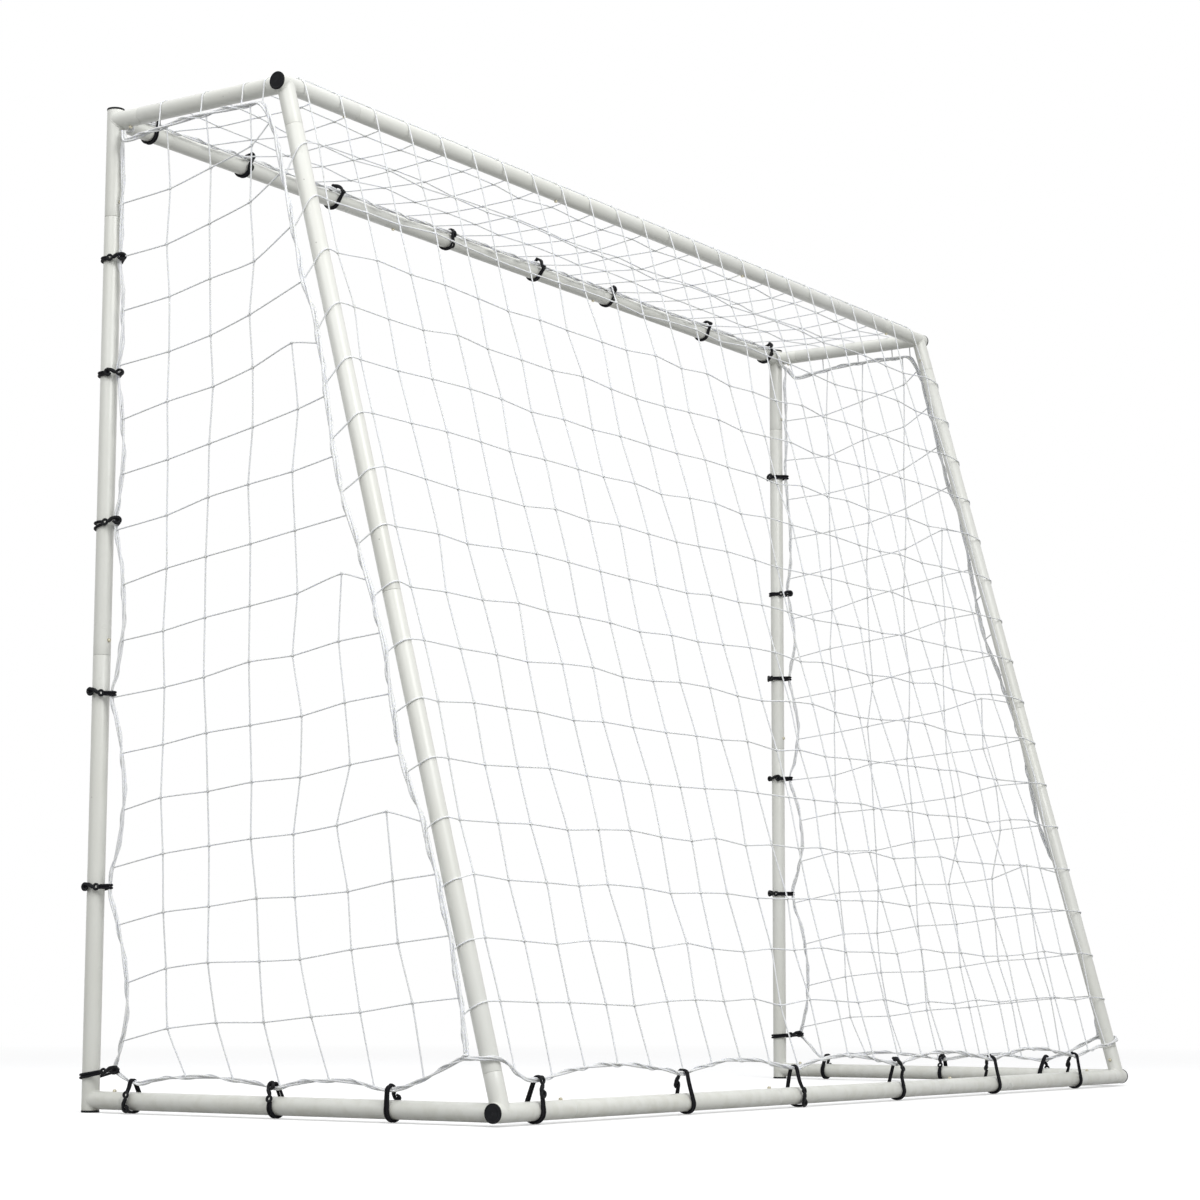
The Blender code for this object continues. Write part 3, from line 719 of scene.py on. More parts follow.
@dataclass
class Paths:
    """Polylines that one sweep follows, each with its girth at each point."""

    points: list[Vector] = field(default_factory=list)
    girths: list[float] = field(default_factory=list)
    edges: list[tuple[int, int]] = field(default_factory=list)

    def add(self, points: list[Vector], girths: list[float] | float, closed: bool = False) -> None:
        """Add one polyline.

        Args:
            points: Its points in order.
            girths: Half its thickness, one number or one for each point.
            closed: Whether it runs on to its start.
        """
        first = len(self.points)
        self.points += points
        self.girths += girths if isinstance(girths, list) else [girths] * len(points)
        last = first + len(points) - 1
        self.edges += [(index, index + 1) for index in range(first, last)]
        if closed:
            self.edges.append((last, first))

    def swept(self, name: str, tree: SweepTree, finish: Material, **sizes: float) -> Mesh:
        """Sweep the section along every polyline.

        Args:
            name: Name of the mesh.
            tree: The sweep's node tree.
            finish: Its finish.
            sizes: The tree's inputs, with spaces in their names written as underscores.

        Returns:
            The plain mesh.
        """
        mesh = bpy.data.meshes.new(name)
        mesh.from_pydata([tuple(point) for point in self.points], self.edges, [])
        girth = mesh.attributes.new("girth", "FLOAT", "POINT")
        girth.data.foreach_set("value", self.girths)
        worker = link(name + "_paths", mesh)
        modifier = worker.modifiers.new("sweep", "NODES")
        modifier.node_group = tree.tree
        values = {key.replace("_", " "): value for key, value in sizes.items()}
        values["Finish"] = finish
        for item in tree.tree.interface.items_tree:
            if item.in_out == "INPUT" and item.name in values:
                modifier[item.identifier] = values[item.name]
        return baked(worker, name)


# ---- steel frame


@dataclass
class Assembly:
    """A sub-assembly, with the finishes and the sweep that it is made with."""

    finishes: Finishes
    tree: SweepTree


@dataclass
class Arm:
    """A tube welded to the side of a through tube: where it starts, and what it is cut to fit."""

    root: Vector
    axis: Vector
    through: Vector
    others: list[Vector]

    def reach(self, ray: Vector, radius: float) -> float:
        """Way from the root at which the arm's wall clears the through tube and the other arms.

        Args:
            ray: Unit vector from the arm's axis to the wall.
            radius: The wall's radius.

        Returns:
            The distance along the arm.
        """
        across = ray.dot(self.axis.cross(self.through)) * radius
        best = math.sqrt(max(LAYOUT.tube_radius ** 2 - across ** 2, 0))
        for other in self.others:
            best = max(best, ray.dot(other) * radius / (1 - self.axis.dot(other)))
        return best

    def beside(self, point: Vector) -> Vector:
        """Outward normal of the tube that the arm meets at a point."""
        normals = []
        for axis in [self.through] + self.others:
            away = point - self.root
            away = away - axis * away.dot(axis)
            normals.append((abs(away.length - LAYOUT.tube_radius), away.normalized()))
        return min(normals, key=lambda pair: pair[0])[1]


@dataclass
class TubeWall:
    """The closed wall of one tube between two ends."""

    root: Vector
    tip: Vector
    start: TubeEnd
    end: TubeEnd
    arm: Arm | None = None
    holes: list[Matrix] = field(default_factory=list)
    sides: int = 48
    rim: float = 0.0005
    sink: float = 0.0007
    hole_room: float = 0.006  # from a hole's middle to the rings beside it
    swage: tuple = (0.004, 0.008)  # way back to the neck's end and the full bore
    drill_span: tuple = (-0.012, 0.003)  # heights over the tube's skin
    drill_sides: int = 24
    bead_points: int = 150
    bead_thinning: float = 0.30
    bead_sink: tuple = (0.15, 0.62)  # of its girth in a square corner, and more if flat

    @property
    def axis(self) -> Vector:
        """Unit vector from root to tip."""
        return (self.tip - self.root).normalized()

    def rays(self, count: int, shift: float) -> list[Vector]:
        """Unit vectors square to the wall's axis, evenly round it."""
        turn = axes(self.root, self.axis).to_3x3()
        angles = [(index + shift) * math.tau / count for index in range(count)]
        return [turn @ Vector((math.cos(angle), math.sin(angle), 0)) for angle in angles]

    def end_rings(self, end: TubeEnd) -> tuple[list, list]:
        """Rings of one end, outside ones and then bore ones: way back from the seam, radius."""
        big = LAYOUT.tube_radius
        bore = big - LAYOUT.tube_wall
        plug = bore - LAYOUT.clearance
        neck = plug - LAYOUT.tube_wall
        near, far = (LAYOUT.button_setback + way * self.hole_room for way in (-1, 1))
        if end is TubeEnd.WELDED:
            return [(0.0, big)], [(0.0, bore)]
        turn = [math.radians(angle) for angle in (0, 30, 60, 90)]
        lip = [(self.rim * (1 - math.sin(a)), big - self.rim * (1 - math.cos(a))) for a in turn]
        if end is TubeEnd.BARE:
            outside = lip[::-1] + [(near, big), (far, big)]
            return outside, [(0, bore), (near, bore), (far, bore)]
        gap = LAYOUT.clearance
        tip = -LAYOUT.plug_length
        outside = [(tip, plug), (-far, plug), (-near, plug), (gap, plug)]
        outside += [(gap + back, radius) for back, radius in lip[::-1]]
        narrow, wide = self.swage
        inside = [(tip, neck), (-far, neck), (-near, neck), (narrow, neck), (wide, bore)]
        return outside, inside

    def shell(self, name: str) -> Mesh:
        """Build the wall, before its button holes are cut."""
        start_out, start_in = self.end_rings(self.start)
        end_out, end_in = self.end_rings(self.end)
        length = (self.tip - self.root).length
        rings = [(back, radius, True) for back, radius in start_out]
        rings += [(length - back, radius, False) for back, radius in end_out[::-1] + end_in]
        rings += [(back, radius, True) for back, radius in start_in[::-1]]
        shape = bmesh.new()
        made = []
        for along, radius, at_start in rings:
            ring = []
            for ray in self.rays(self.sides, 0.5):
                reach = along
                if at_start and self.arm:
                    reach += self.arm.reach(ray, radius) - self.sink
                ring.append(shape.verts.new(self.root + self.axis * reach + ray * radius))
            made.append(ring)
        for lower, upper in zip(made, made[1:] + made[:1]):
            bridge(shape, lower, upper)
        return shaded(shape, name)

    def build(self, name: str) -> Mesh:
        """Build the wall with its button holes drilled."""
        mesh = self.shell(name)
        if not self.holes:
            return mesh
        target = link(name, mesh)
        drills = []
        radius = SnapButtons.radius + LAYOUT.clearance
        profile = [(height, radius) for height in self.drill_span]
        for placed in self.holes:
            drill = link(name + "_drill", turned(profile, self.drill_sides, placed, "drill"))
            cut = target.modifiers.new("hole", "BOOLEAN")
            cut.operation = "DIFFERENCE"
            cut.object = drill
            drills.append(drill)
        result = smoothed(baked(target, name))
        for drill in drills:
            bpy.data.objects.remove(drill)
        return result

    def bead(self, paths: Paths, size: float) -> None:
        """Add the path of the weld bead round the wall's foot.

        Args:
            paths: Where the path goes.
            size: Half the bead's thickness in a square corner.
        """
        points, girths = [], []
        radius = LAYOUT.tube_radius
        least, more = self.bead_sink
        for ray in self.rays(self.bead_points, 0):
            point = self.root + self.axis * self.arm.reach(ray, radius) + ray * radius
            other = self.arm.beside(point)
            flat = max(ray.dot(other), 0)
            girth = size * (1 - self.bead_thinning * flat)
            points.append(point - (ray + other).normalized() * girth * (least + more * flat))
            girths.append(girth)
        paths.add(points, girths, closed=True)


@dataclass(frozen=True)
class Seam:
    """A plugged joint: its place, which way the next tube runs and its button faces, the node of
    the outer tube, and that of the tube that plugs into it."""

    name: str
    point: Vector
    onward: Vector
    faces: Vector
    outer: str
    inner: str

    def button(self) -> Matrix:
        """Axes of the joint's snap button: +Z outward, +X along its leaf."""
        surface = self.point - self.onward * LAYOUT.button_setback + self.faces * LAYOUT.tube_radius
        return axes(surface, self.faces, -self.onward)


@dataclass
class SteelFrame(Assembly):
    """The goal's tubes, welds and joints."""

    # how far each seam is from a corner of the axes
    post_top_seam: float = 0.185
    post_middle_seam: float = 1.003
    crossbar_seam: float = 0.815
    side_top_seam: float = 0.065
    side_ground_seam: float = 0.085
    rear_bar_seam: float = 0.196
    stay_top_seam: float = 0.085
    stay_middle_seam: float = 0.970
    stay_foot_seam: float = 0.066
    bead_size: float = 0.0023
    ripple_pitch: float = 0.0026
    ripple_depth: float = 0.07
    walls: dict[str, list[TubeWall]] = field(default_factory=dict)
    seams: list[Seam] = field(default_factory=list)

    def tube(self, node: str, root: Vector, tip: Vector, start: TubeEnd, end: TubeEnd) -> None:
        """Add a plain tube to a node."""
        self.walls.setdefault(node, []).append(TubeWall(root, tip, start, end))

    def joint(
            self, name: str, point: Vector, onward: Vector, faces: Vector, outer: str,
            inner: str) -> None:
        """Add a plugged joint, told as a Seam is."""
        self.seams.append(Seam(name, point, onward, faces, outer, inner))

    def arms(
            self, node: str, root: Vector, through: Vector,
            tips: list[tuple[Vector, TubeEnd]]) -> None:
        """Weld arms to a node's through tube.

        Args:
            node: The node.
            root: Where the arms' axes meet the through tube's.
            through: The through tube's direction.
            tips: Each arm's far end and how it ends.
        """
        ways = [(tip - root).normalized() for tip, _ in tips]
        for index, (tip, end) in enumerate(tips):
            others = [way for other, way in enumerate(ways) if other != index]
            arm = Arm(root, ways[index], through, others)
            self.walls[node].append(TubeWall(root, tip, TubeEnd.WELDED, end, arm))

    def lay_out_side(self, side: Side) -> None:
        """Set out the tubes and joints of one side."""
        front_top, front_foot, rear_top, rear_foot = LAYOUT.corners(side)
        inward = -side.value * RIGHT
        down = LAYOUT.down_stay
        tag = side.label
        post_top = front_top - UP * self.post_top_seam
        post_middle = front_top - UP * self.post_middle_seam
        crossbar = front_top + inward * self.crossbar_seam
        side_top = front_top + REAR * self.side_top_seam
        side_ground = front_foot + REAR * self.side_ground_seam
        stay_top = rear_top + down * self.stay_top_seam
        stay_middle = rear_top + down * self.stay_middle_seam
        stay_foot = rear_foot - down * self.stay_foot_seam
        bare, swaged = TubeEnd.BARE, TubeEnd.SWAGED
        front, lower = f"front_top_corner_{tag}", f"lower_post_{tag}"
        self.tube(front, front_top + UP * LAYOUT.post_overhang, post_top, bare, bare)
        self.arms(front, front_top, UP, [(crossbar, swaged), (side_top, bare)])
        self.tube(f"upper_post_{tag}", post_top, post_middle, swaged, bare)
        foot = Vector((front_foot.x, front_foot.y, EndCaps.lip + LAYOUT.clearance))
        self.tube(lower, foot, post_middle, bare, swaged)
        self.arms(lower, front_foot, UP, [(side_ground, bare)])
        for name, corner, arm_tips in (
                ("rear_top_corner", rear_top, [(side_top, swaged), (stay_top, bare)]),
                ("rear_ground_corner", rear_foot, [(side_ground, swaged), (stay_foot, bare)])):
            outer_end = corner - inward * LAYOUT.bar_overhang
            inner_end = corner + inward * self.rear_bar_seam
            self.tube(f"{name}_{tag}", outer_end, inner_end, bare, bare)
            self.arms(f"{name}_{tag}", corner, RIGHT, arm_tips)
        self.tube(f"upper_stay_{tag}", stay_top, stay_middle, swaged, bare)
        self.tube(f"lower_stay_{tag}", stay_middle, stay_foot, swaged, swaged)
        rows = (
            ("post_top", post_top, -UP, REAR, "front_top_corner", "upper_post"),
            ("post_middle", post_middle, -UP, REAR, "upper_post", "lower_post"),
            ("side_top", side_top, REAR, -UP, "front_top_corner", "rear_top_corner"),
            ("side_ground", side_ground, REAR, UP, "lower_post", "rear_ground_corner"),
            ("stay_top", stay_top, down, inward, "rear_top_corner", "upper_stay"),
            ("stay_middle", stay_middle, down, inward, "upper_stay", "lower_stay"),
            ("stay_foot", stay_foot, -down, inward, "rear_ground_corner", "lower_stay"))
        for name, point, onward, faces, outer, inner in rows:
            self.joint(f"{name}_{tag}", point, onward, faces, f"{outer}_{tag}", f"{inner}_{tag}")

    def lay_out_bars(self) -> None:
        """Set out the crossbar's middle and the two rear bars."""
        bare, swaged = TubeEnd.BARE, TubeEnd.SWAGED
        ends = []
        for side in Side:
            way, tag = side.value, side.label
            end = Vector((way * (LAYOUT.side_x - self.crossbar_seam), LAYOUT.front_y, LAYOUT.top_z))
            self.joint(
                f"crossbar_{tag}", end, way * RIGHT, -UP, "crossbar_middle",
                f"front_top_corner_{tag}")
            ends.append(end)
        self.tube("crossbar_middle", *ends, bare, bare)
        reach = LAYOUT.side_x - self.rear_bar_seam
        inner = reach / 3
        for bar, y, z, faces in (
                ("rear_top", LAYOUT.rear_top_y, LAYOUT.top_z, -UP),
                ("rear_ground", LAYOUT.rear_ground_y, LAYOUT.ground_z, UP)):
            middle = f"{bar}_middle"
            for side in Side:
                way, tag = side.value, side.label
                outer_tube, corner = f"{bar}_{tag}", f"{bar}_corner_{tag}"
                end, seam = Vector((way * reach, y, z)), Vector((way * inner, y, z))
                self.tube(outer_tube, end, seam, swaged, bare)
                self.joint(f"{bar}_end_{tag}", end, -way * RIGHT, faces, corner, outer_tube)
                self.joint(f"{bar}_inner_{tag}", seam, -way * RIGHT, faces, outer_tube, middle)
            self.tube(middle, Vector((-inner, y, z)), Vector((inner, y, z)), swaged, swaged)

    def drill(self) -> None:
        """Give each joint's hole to the two walls that it goes through."""
        for seam in self.seams:
            for node in (seam.outer, seam.inner):
                near = min(self.walls[node], key=lambda wall: min(
                    (wall.root - seam.point).length, (wall.tip - seam.point).length))
                near.holes.append(seam.button())

    def build(self) -> None:
        """Build every tube and weld."""
        for side in Side:
            self.lay_out_side(side)
        self.lay_out_bars()
        self.drill()
        for node, walls in self.walls.items():
            meshes = [wall.build(node) for wall in walls]
            piece = link(node + "_tube", joined(meshes, node), self.finishes.coat)
            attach(piece, "goal")
            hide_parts(node)
            beads = Paths()
            for wall in walls:
                if wall.arm:
                    wall.bead(beads, self.bead_size)
            if beads.points:
                mesh = beads.swept(
                    "weld", self.tree, self.finishes.coat, Sides=10, Ripple_pitch=self.ripple_pitch,
                    Ripple_depth=self.ripple_depth)
                weld = link(node + "_weld", mesh)
                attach(weld, "goal")
        LOG.info(
            "steel frame: %d tubes and corners, %d joints", len(self.walls), len(self.seams))


@dataclass
class EndCaps(Assembly):
    """Black caps pushed into the tubes' open ends, with a lip over the rim."""

    lip: float = 0.0035
    proud: float = 0.0005
    rounding: float = 0.0012
    shank: float = 0.010
    shank_bevel: float = 0.001
    lip_bevel: float = 0.0003
    dish: tuple = (0.80, 0.76)  # shares of the radius
    dish_depth: float = 0.0005
    gate: tuple = (0.0022, 0.0019)  # radius at its foot and its top
    gate_depth: float = 0.0001
    sides: int = 48

    def profile(self) -> list[tuple[float, float]]:
        """Outline of one cap: shank, lip, rounded edge, shallow dish and the moulding's gate."""
        low = LAYOUT.clearance
        top = low + self.lip
        floor, gate = top - self.dish_depth, top - self.gate_depth
        big = LAYOUT.tube_radius + self.proud
        shank = LAYOUT.tube_radius - LAYOUT.tube_wall - LAYOUT.clearance
        outline = [
            (-self.shank, 0), (-self.shank, shank - self.shank_bevel),
            (-self.shank + self.shank_bevel, shank), (low, shank),
            (low, big - self.lip_bevel), (low + self.lip_bevel, big)]
        for angle in (0, 22, 45, 68, 90):
            turn = math.radians(angle)
            outline.append((
                top - self.rounding * (1 - math.sin(turn)),
                big - self.rounding * (1 - math.cos(turn))))
        outline += [(top, big * self.dish[0]), (floor, big * self.dish[1])]
        return outline + [(floor, self.gate[0]), (gate, self.gate[1]), (gate, 0)]

    def build(self) -> None:
        """Build the eight caps."""
        for side in Side:
            front_top, front_foot, rear_top, rear_foot = LAYOUT.corners(side)
            outward = side.value * RIGHT
            foot = Vector((front_foot.x, front_foot.y, self.lip + LAYOUT.clearance))
            rows = (
                ("cap_post_top", front_top + UP * LAYOUT.post_overhang, UP),
                ("cap_foot", foot, -UP),
                ("cap_rear_top", rear_top + outward * LAYOUT.bar_overhang, outward),
                ("cap_rear_ground", rear_foot + outward * LAYOUT.bar_overhang, outward))
            for name, point, way in rows:
                node = f"{name}_{side.label}"
                mesh = turned(self.profile(), self.sides, axes(point, way), node)
                piece = link(node + "_moulding", mesh, self.finishes.plastic)
                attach(piece, "goal")
                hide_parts(node)
        LOG.info("end caps: 8")


@dataclass
class SnapButtons(Assembly):
    """Spring snap buttons: a domed pin on its leaf, one at each plugged joint."""

    radius: float = 0.0034
    proud: float = 0.0040
    leaf_depth: float = 0.0050
    leaf_width: float = 0.0080
    leaf_length: float = 0.022
    leaf_thickness: float = 0.0008
    leaf_bend: float = 0.0025
    dome: float = 0.0020
    dome_power: float = 0.8  # below 1 for a fuller dome
    sides: int = 24

    @property
    def leaf_foot(self) -> float:
        """Height of the leaf's inner face, where the pin starts."""
        return -self.leaf_depth - self.leaf_thickness

    def pin(self, placed: Matrix) -> Mesh:
        """The domed pin."""
        outline = [(self.leaf_foot, 0), (self.leaf_foot, self.radius)]
        for angle in (0, 15, 30, 45, 60, 75):
            turn = math.radians(angle)
            outline.append((
                self.proud - self.dome * (1 - math.sin(turn)),
                self.radius * math.cos(turn) ** self.dome_power))
        outline.append((self.proud, 0))
        return turned(outline, self.sides, placed, "pin")

    def leaf(self, placed: Matrix) -> Mesh:
        """The spring leaf with rounded corners."""
        shape = bmesh.new()
        half, start = self.leaf_width / 2, -self.leaf_width / 2
        end = start + self.leaf_length
        bend = self.leaf_bend
        outline = []
        for x, y, first in (
                (end - bend, half - bend, 0), (start + bend, half - bend, 90),
                (start + bend, bend - half, 180), (end - bend, bend - half, 270)):
            for step in range(5):
                turn = math.radians(first + step * 22.5)
                outline.append((x + bend * math.cos(turn), y + bend * math.sin(turn)))
        rings = []
        for z in (self.leaf_foot, -self.leaf_depth):
            rings.append([shape.verts.new(placed @ Vector((x, y, z))) for x, y in outline])
            shape.faces.new(rings[-1])
        bridge(shape, *rings)
        return shaded(shape, "leaf")

    def build(self, seams: list[Seam]) -> None:
        """Build a button at each of the frame's joints, each on its own body."""
        for seam in seams:
            node = "button_" + seam.name
            placed = seam.button()
            mesh = smoothed(joined([self.pin(placed), self.leaf(placed)], node))
            piece = link(node + "_pin", mesh, self.finishes.zinc)
            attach(piece, node)
            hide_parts(node)
        LOG.info("snap buttons: %d", len(seams))


# ---- net, ropes and ties


@dataclass(frozen=True)
class TiePlaces:
    """Where the ties stand, hand tied: down the posts from the top, along the bars from the
    right corner, and along the side ground bars from the front. A rope is fully slack loose_end
    past its last tie."""

    posts: tuple = (
        (0.309, 0.610, 0.825, 1.078, 1.366, 1.713), (0.266, 0.483, 0.759, 1.075, 1.422, 1.747))
    crossbar: tuple = (0.092, 0.361, 0.638, 1.025, 1.358, 1.653, 2.078, 2.380)
    rear: tuple = (0.092, 0.543, 0.931, 1.342, 1.773, 2.190)
    sides: tuple = ((0.131, 0.451, 0.713), (0.104, 0.430, 0.681))
    loose_end: float = 0.15


TIES = TiePlaces()


def slack(place: float, ties: tuple) -> float:
    """How far a place along a bar is from its ties: 0 at a tie, 1 halfway between two."""
    before = max((tie for tie in ties if tie <= place), default=None)
    after = min((tie for tie in ties if tie > place), default=None)
    if before is None or after is None:
        end = after if before is None else before
        return min(abs(place - end) / TIES.loose_end, 1.0)
    return math.sin(math.pi * (place - before) / (after - before))


@dataclass
class BorderRopes(Assembly):
    """Courses of the thick ropes round the net's edges."""

    cord: float = 0.0020
    spread: float = 0.0020
    seam_gain: float = 1.22  # of the seam ropes' girths
    turn: float = 0.23  # length of one turn
    ply_pitch: float = 0.014
    lobe_depth: float = 0.06
    lacing: float = 0.0013
    lacing_turn: float = 0.104
    lacing_start: float = 0.8
    # start, pitch and number of a course's points
    post_steps: tuple = (0.075, 0.04, 42)
    ground_steps: tuple = (0.115, 0.035, 20)
    stay_steps: tuple = (0.160, 0.05, 33)
    crossbar_steps: tuple = (0.03, 0.034, 71)
    rear_steps: tuple = (0.055, 0.034, 69)
    sampling: float = 0.0045
    front_x: float = 0.004  # out from the frame's axes
    # round the side top bar's inner underside: out from the frame's axes, way back, height
    front_start: tuple = (
        (-0.0300, 0.0185, 1.8122), (-0.0235, 0.0225, 1.8020), (-0.0170, 0.0250, 1.7835),
        (-0.0040, 0.0265, 1.7765), (0.0050, 0.0265, 1.7715))
    post_gap: float = 0.0215
    post_lean: float = 0.0085  # for each metre down
    post_slack: float = 0.028  # and between ties
    post_kick: tuple = (1.55, 0.125)  # where it starts, and its slope
    ground_gap: float = 0.031
    ground_slack: float = 0.015
    ground_rise: tuple = (0.70, 0.26)  # the same
    ground_flare: tuple = (0.6, 0.075)  # the same, outward
    seam_x: float = 0.0215
    seam_start: tuple = (0.010, 0.030, 1.774)
    seam_height: float = 1.750
    seam_arch: float = 0.018
    arch_span: tuple = (0.04, 0.46)  # where its arch starts, and how long it is
    under_bar: tuple = (0.047, 0.128, 0.229, 0.326, 0.372)  # ways back from the mouth
    # ways in front of the stay, a step apart
    seam_leads: tuple = (
        .029, .031, .034, .025, .031, .041, .046, .035, .026, .022, .031, .035, .019, .014, .012,
        .017, .028)
    seam_first: float = 0.160
    seam_before: tuple = (0.080, 0.040)
    seam_step: float = 0.1004
    seam_ends: tuple = (0.05, 0.09)  # a row ends no nearer to the stay's ends
    halvings: int = 24
    foot_place: tuple = (0.840, 0.088)  # way back and height
    crossbar_gap: tuple = (0.0154, 0.0148)  # behind and above the bar's axis
    crossbar_slack: tuple = (0.009, 0.005)  # back and down between two ties
    rear_gap: float = 0.046
    rear_slack: float = 0.022
    rear_off: float = 0.020
    corner_rise: tuple = (0.055, 2 / 3)  # reach from a corner, and slope
    # round the stay's foot: out from the frame's axes, way up the stay, off its plane
    rear_ends: tuple = ((0.0215, 0.090, 0.0), (0.0155, 0.086, 0.016), (-0.010, 0.078, 0.0225))

    def post_offset(self, side: Side, fall: float) -> float:
        """How far the post rope stands behind its post's axis, at a way down from the top bar."""
        start, slope = self.post_kick
        near = self.post_gap + self.post_lean * fall + slope * max(fall - start, 0)
        return near + slack(fall, side.pick(TIES.posts)) * self.post_slack * fall

    def post_point(self, side: Side, fall: float) -> Vector:
        """Point of the post rope."""
        x = LAYOUT.beside(side, self.front_x)
        return LAYOUT.at(x, self.post_offset(side, fall), LAYOUT.mouth_height - fall)

    def ground_height(self, side: Side, along: float) -> float:
        """How far the side ground rope stands above its bar's axis."""
        start, slope = self.ground_rise
        loose = slack(along, side.pick(TIES.sides))
        return self.ground_gap + self.ground_slack * loose + slope * max(along - start, 0)

    def ground_point(self, side: Side, along: float) -> Vector:
        """Point of the side ground rope."""
        start, slope = self.ground_flare
        x = LAYOUT.beside(side, self.front_x + slope * max(along - start, 0))
        return LAYOUT.at(x, along, self.ground_height(side, along))

    def seam_lead(self, fall: float) -> float:
        """How far the seam rope stands in front of the stay's axis."""
        last = len(self.seam_leads) - 1
        place = clamped((fall - self.seam_first) / self.seam_step, 0, last)
        index = min(int(place), last - 1)
        share = place - index
        share = share * share * (3 - 2 * share)
        return self.seam_leads[index] * (1 - share) + self.seam_leads[index + 1] * share

    def seam_on_stay(self, side: Side, fall: float) -> Vector:
        """Point of the seam rope beside the stay."""
        x = LAYOUT.beside(side, self.seam_x)
        return LAYOUT.on_stay(x, fall, -self.seam_lead(fall))

    def seam_under_bar(self, side: Side, along: float) -> Vector:
        """Point of the seam rope under the side top bar."""
        start, length = self.arch_span
        share = clamped((along - start) / length, 0, 1)
        height = self.seam_height + self.seam_arch * math.sin(math.pi * share)
        return LAYOUT.at(LAYOUT.beside(side, self.seam_x), along, height)

    def seam_at_height(self, side: Side, height_at: Callable[[float], float]) -> Vector:
        """Point where the seam rope meets a row.

        Args:
            side: The side.
            height_at: Function from the distance behind the mouth to the row's height.

        Returns:
            The meeting point beside the stay.
        """
        low, high = self.seam_ends[0], LAYOUT.stay_length - self.seam_ends[1]
        for _ in range(self.halvings):
            middle = (low + high) / 2
            point = self.seam_on_stay(side, middle)
            if point.z - LAYOUT.ground_z > height_at(point.y - LAYOUT.front_y):
                low = middle
            else:
                high = middle
        return self.seam_on_stay(side, (low + high) / 2)

    def foot(self, side: Side) -> Vector:
        """Where the seam rope and the ground ropes meet."""
        return LAYOUT.at(LAYOUT.beside(side, self.seam_x), *self.foot_place)

    def crossbar_point(self, along: float) -> Vector:
        """Point of the crossbar's rope, on the bar's upper rear."""
        loose = slack(along, TIES.crossbar)
        back = self.crossbar_gap[0] + self.crossbar_slack[0] * loose
        up = LAYOUT.mouth_height + self.crossbar_gap[1] - self.crossbar_slack[1] * loose
        return LAYOUT.at(LAYOUT.side_x - along, back, up)

    def rear_point(self, along: float) -> Vector:
        """Point of the rear ground rope."""
        reach, slope = self.corner_rise
        corner = min(along, LAYOUT.mouth_width - along)
        height = self.rear_gap + self.rear_slack * slack(along, TIES.rear)
        height += slope * max(reach - corner, 0)
        return LAYOUT.on_stay(LAYOUT.side_x - along, LAYOUT.stay_length - height, self.rear_off)

    def front_course(self, side: Side) -> list[Vector]:
        """Course of a front rope, from the crossbar down the post and along to the foot."""
        course = [
            LAYOUT.at(LAYOUT.beside(side, out), along, height)
            for out, along, height in self.front_start]
        falls = evenly(*self.post_steps) + [side.pick(TIES.posts)[-1]]
        course += [self.post_point(side, fall) for fall in falls]
        course += [self.ground_point(side, along) for along in evenly(*self.ground_steps)]
        return course + [self.foot(side)]

    def seam_course(self, side: Side) -> list[Vector]:
        """Course of a seam rope, from the mouth under the side top bar and down to the foot."""
        out, along, height = self.seam_start
        course = [LAYOUT.at(LAYOUT.beside(side, out), along, height)]
        course += [self.seam_under_bar(side, along) for along in self.under_bar]
        falls = [self.seam_first - way for way in self.seam_before] + evenly(*self.stay_steps)
        course += [self.seam_on_stay(side, fall) for fall in falls]
        return course + [self.foot(side)]

    def rear_end(self, side: Side) -> list[Vector]:
        """The rear rope's way from the foot round the stay."""
        return [self.foot(side)] + [
            LAYOUT.on_stay(LAYOUT.beside(side, out), LAYOUT.stay_length - height, off)
            for out, height, off in self.rear_ends]

    def courses(self) -> dict[str, list[Vector]]:
        """The ropes' courses by name."""
        made = {}
        for side in Side:
            made[f"rope_front_{side.label}"] = self.front_course(side)
            made[f"rope_seam_{side.label}"] = self.seam_course(side)
        alongs = evenly(*self.crossbar_steps)
        made["rope_crossbar"] = [self.crossbar_point(along) for along in alongs]
        rear = [self.rear_point(along) for along in evenly(*self.rear_steps)]
        made["rope_rear"] = self.rear_end(Side.RIGHT) + rear + self.rear_end(Side.LEFT)[::-1]
        return made

    def build(self) -> None:
        """Build the ropes, each a pair of cords with the net's own cord laced along it."""
        courses = self.courses()
        for name, course in courses.items():
            smooth, _ = smooth_path(course, even_steps(course, self.sampling))
            gain = self.seam_gain if name.startswith("rope_seam") else 1.0
            cord, spread = self.cord * gain, self.spread * gain
            rope, lacing = Paths(), Paths()
            for start in (0.0, math.pi):
                rope.add(self.wound(smooth, spread, self.turn, start), cord)
            lacing.add(
                self.wound(smooth, spread + cord, self.lacing_turn, self.lacing_start), self.lacing)
            mesh = rope.swept(
                name, self.tree, self.finishes.rope, Sides=8, Lobes=3, Lobe_depth=self.lobe_depth,
                Twist_pitch=self.ply_pitch)
            piece = link(name, mesh)
            mesh = lacing.swept(name, self.tree, self.finishes.cord, Sides=6)
            lace = link(name + "_lacing", mesh)
            for item in (piece, lace):
                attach(item, "goal")
            if name == "rope_rear":
                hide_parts("rope_rear_ground")
        LOG.info("border ropes: %d", len(courses))

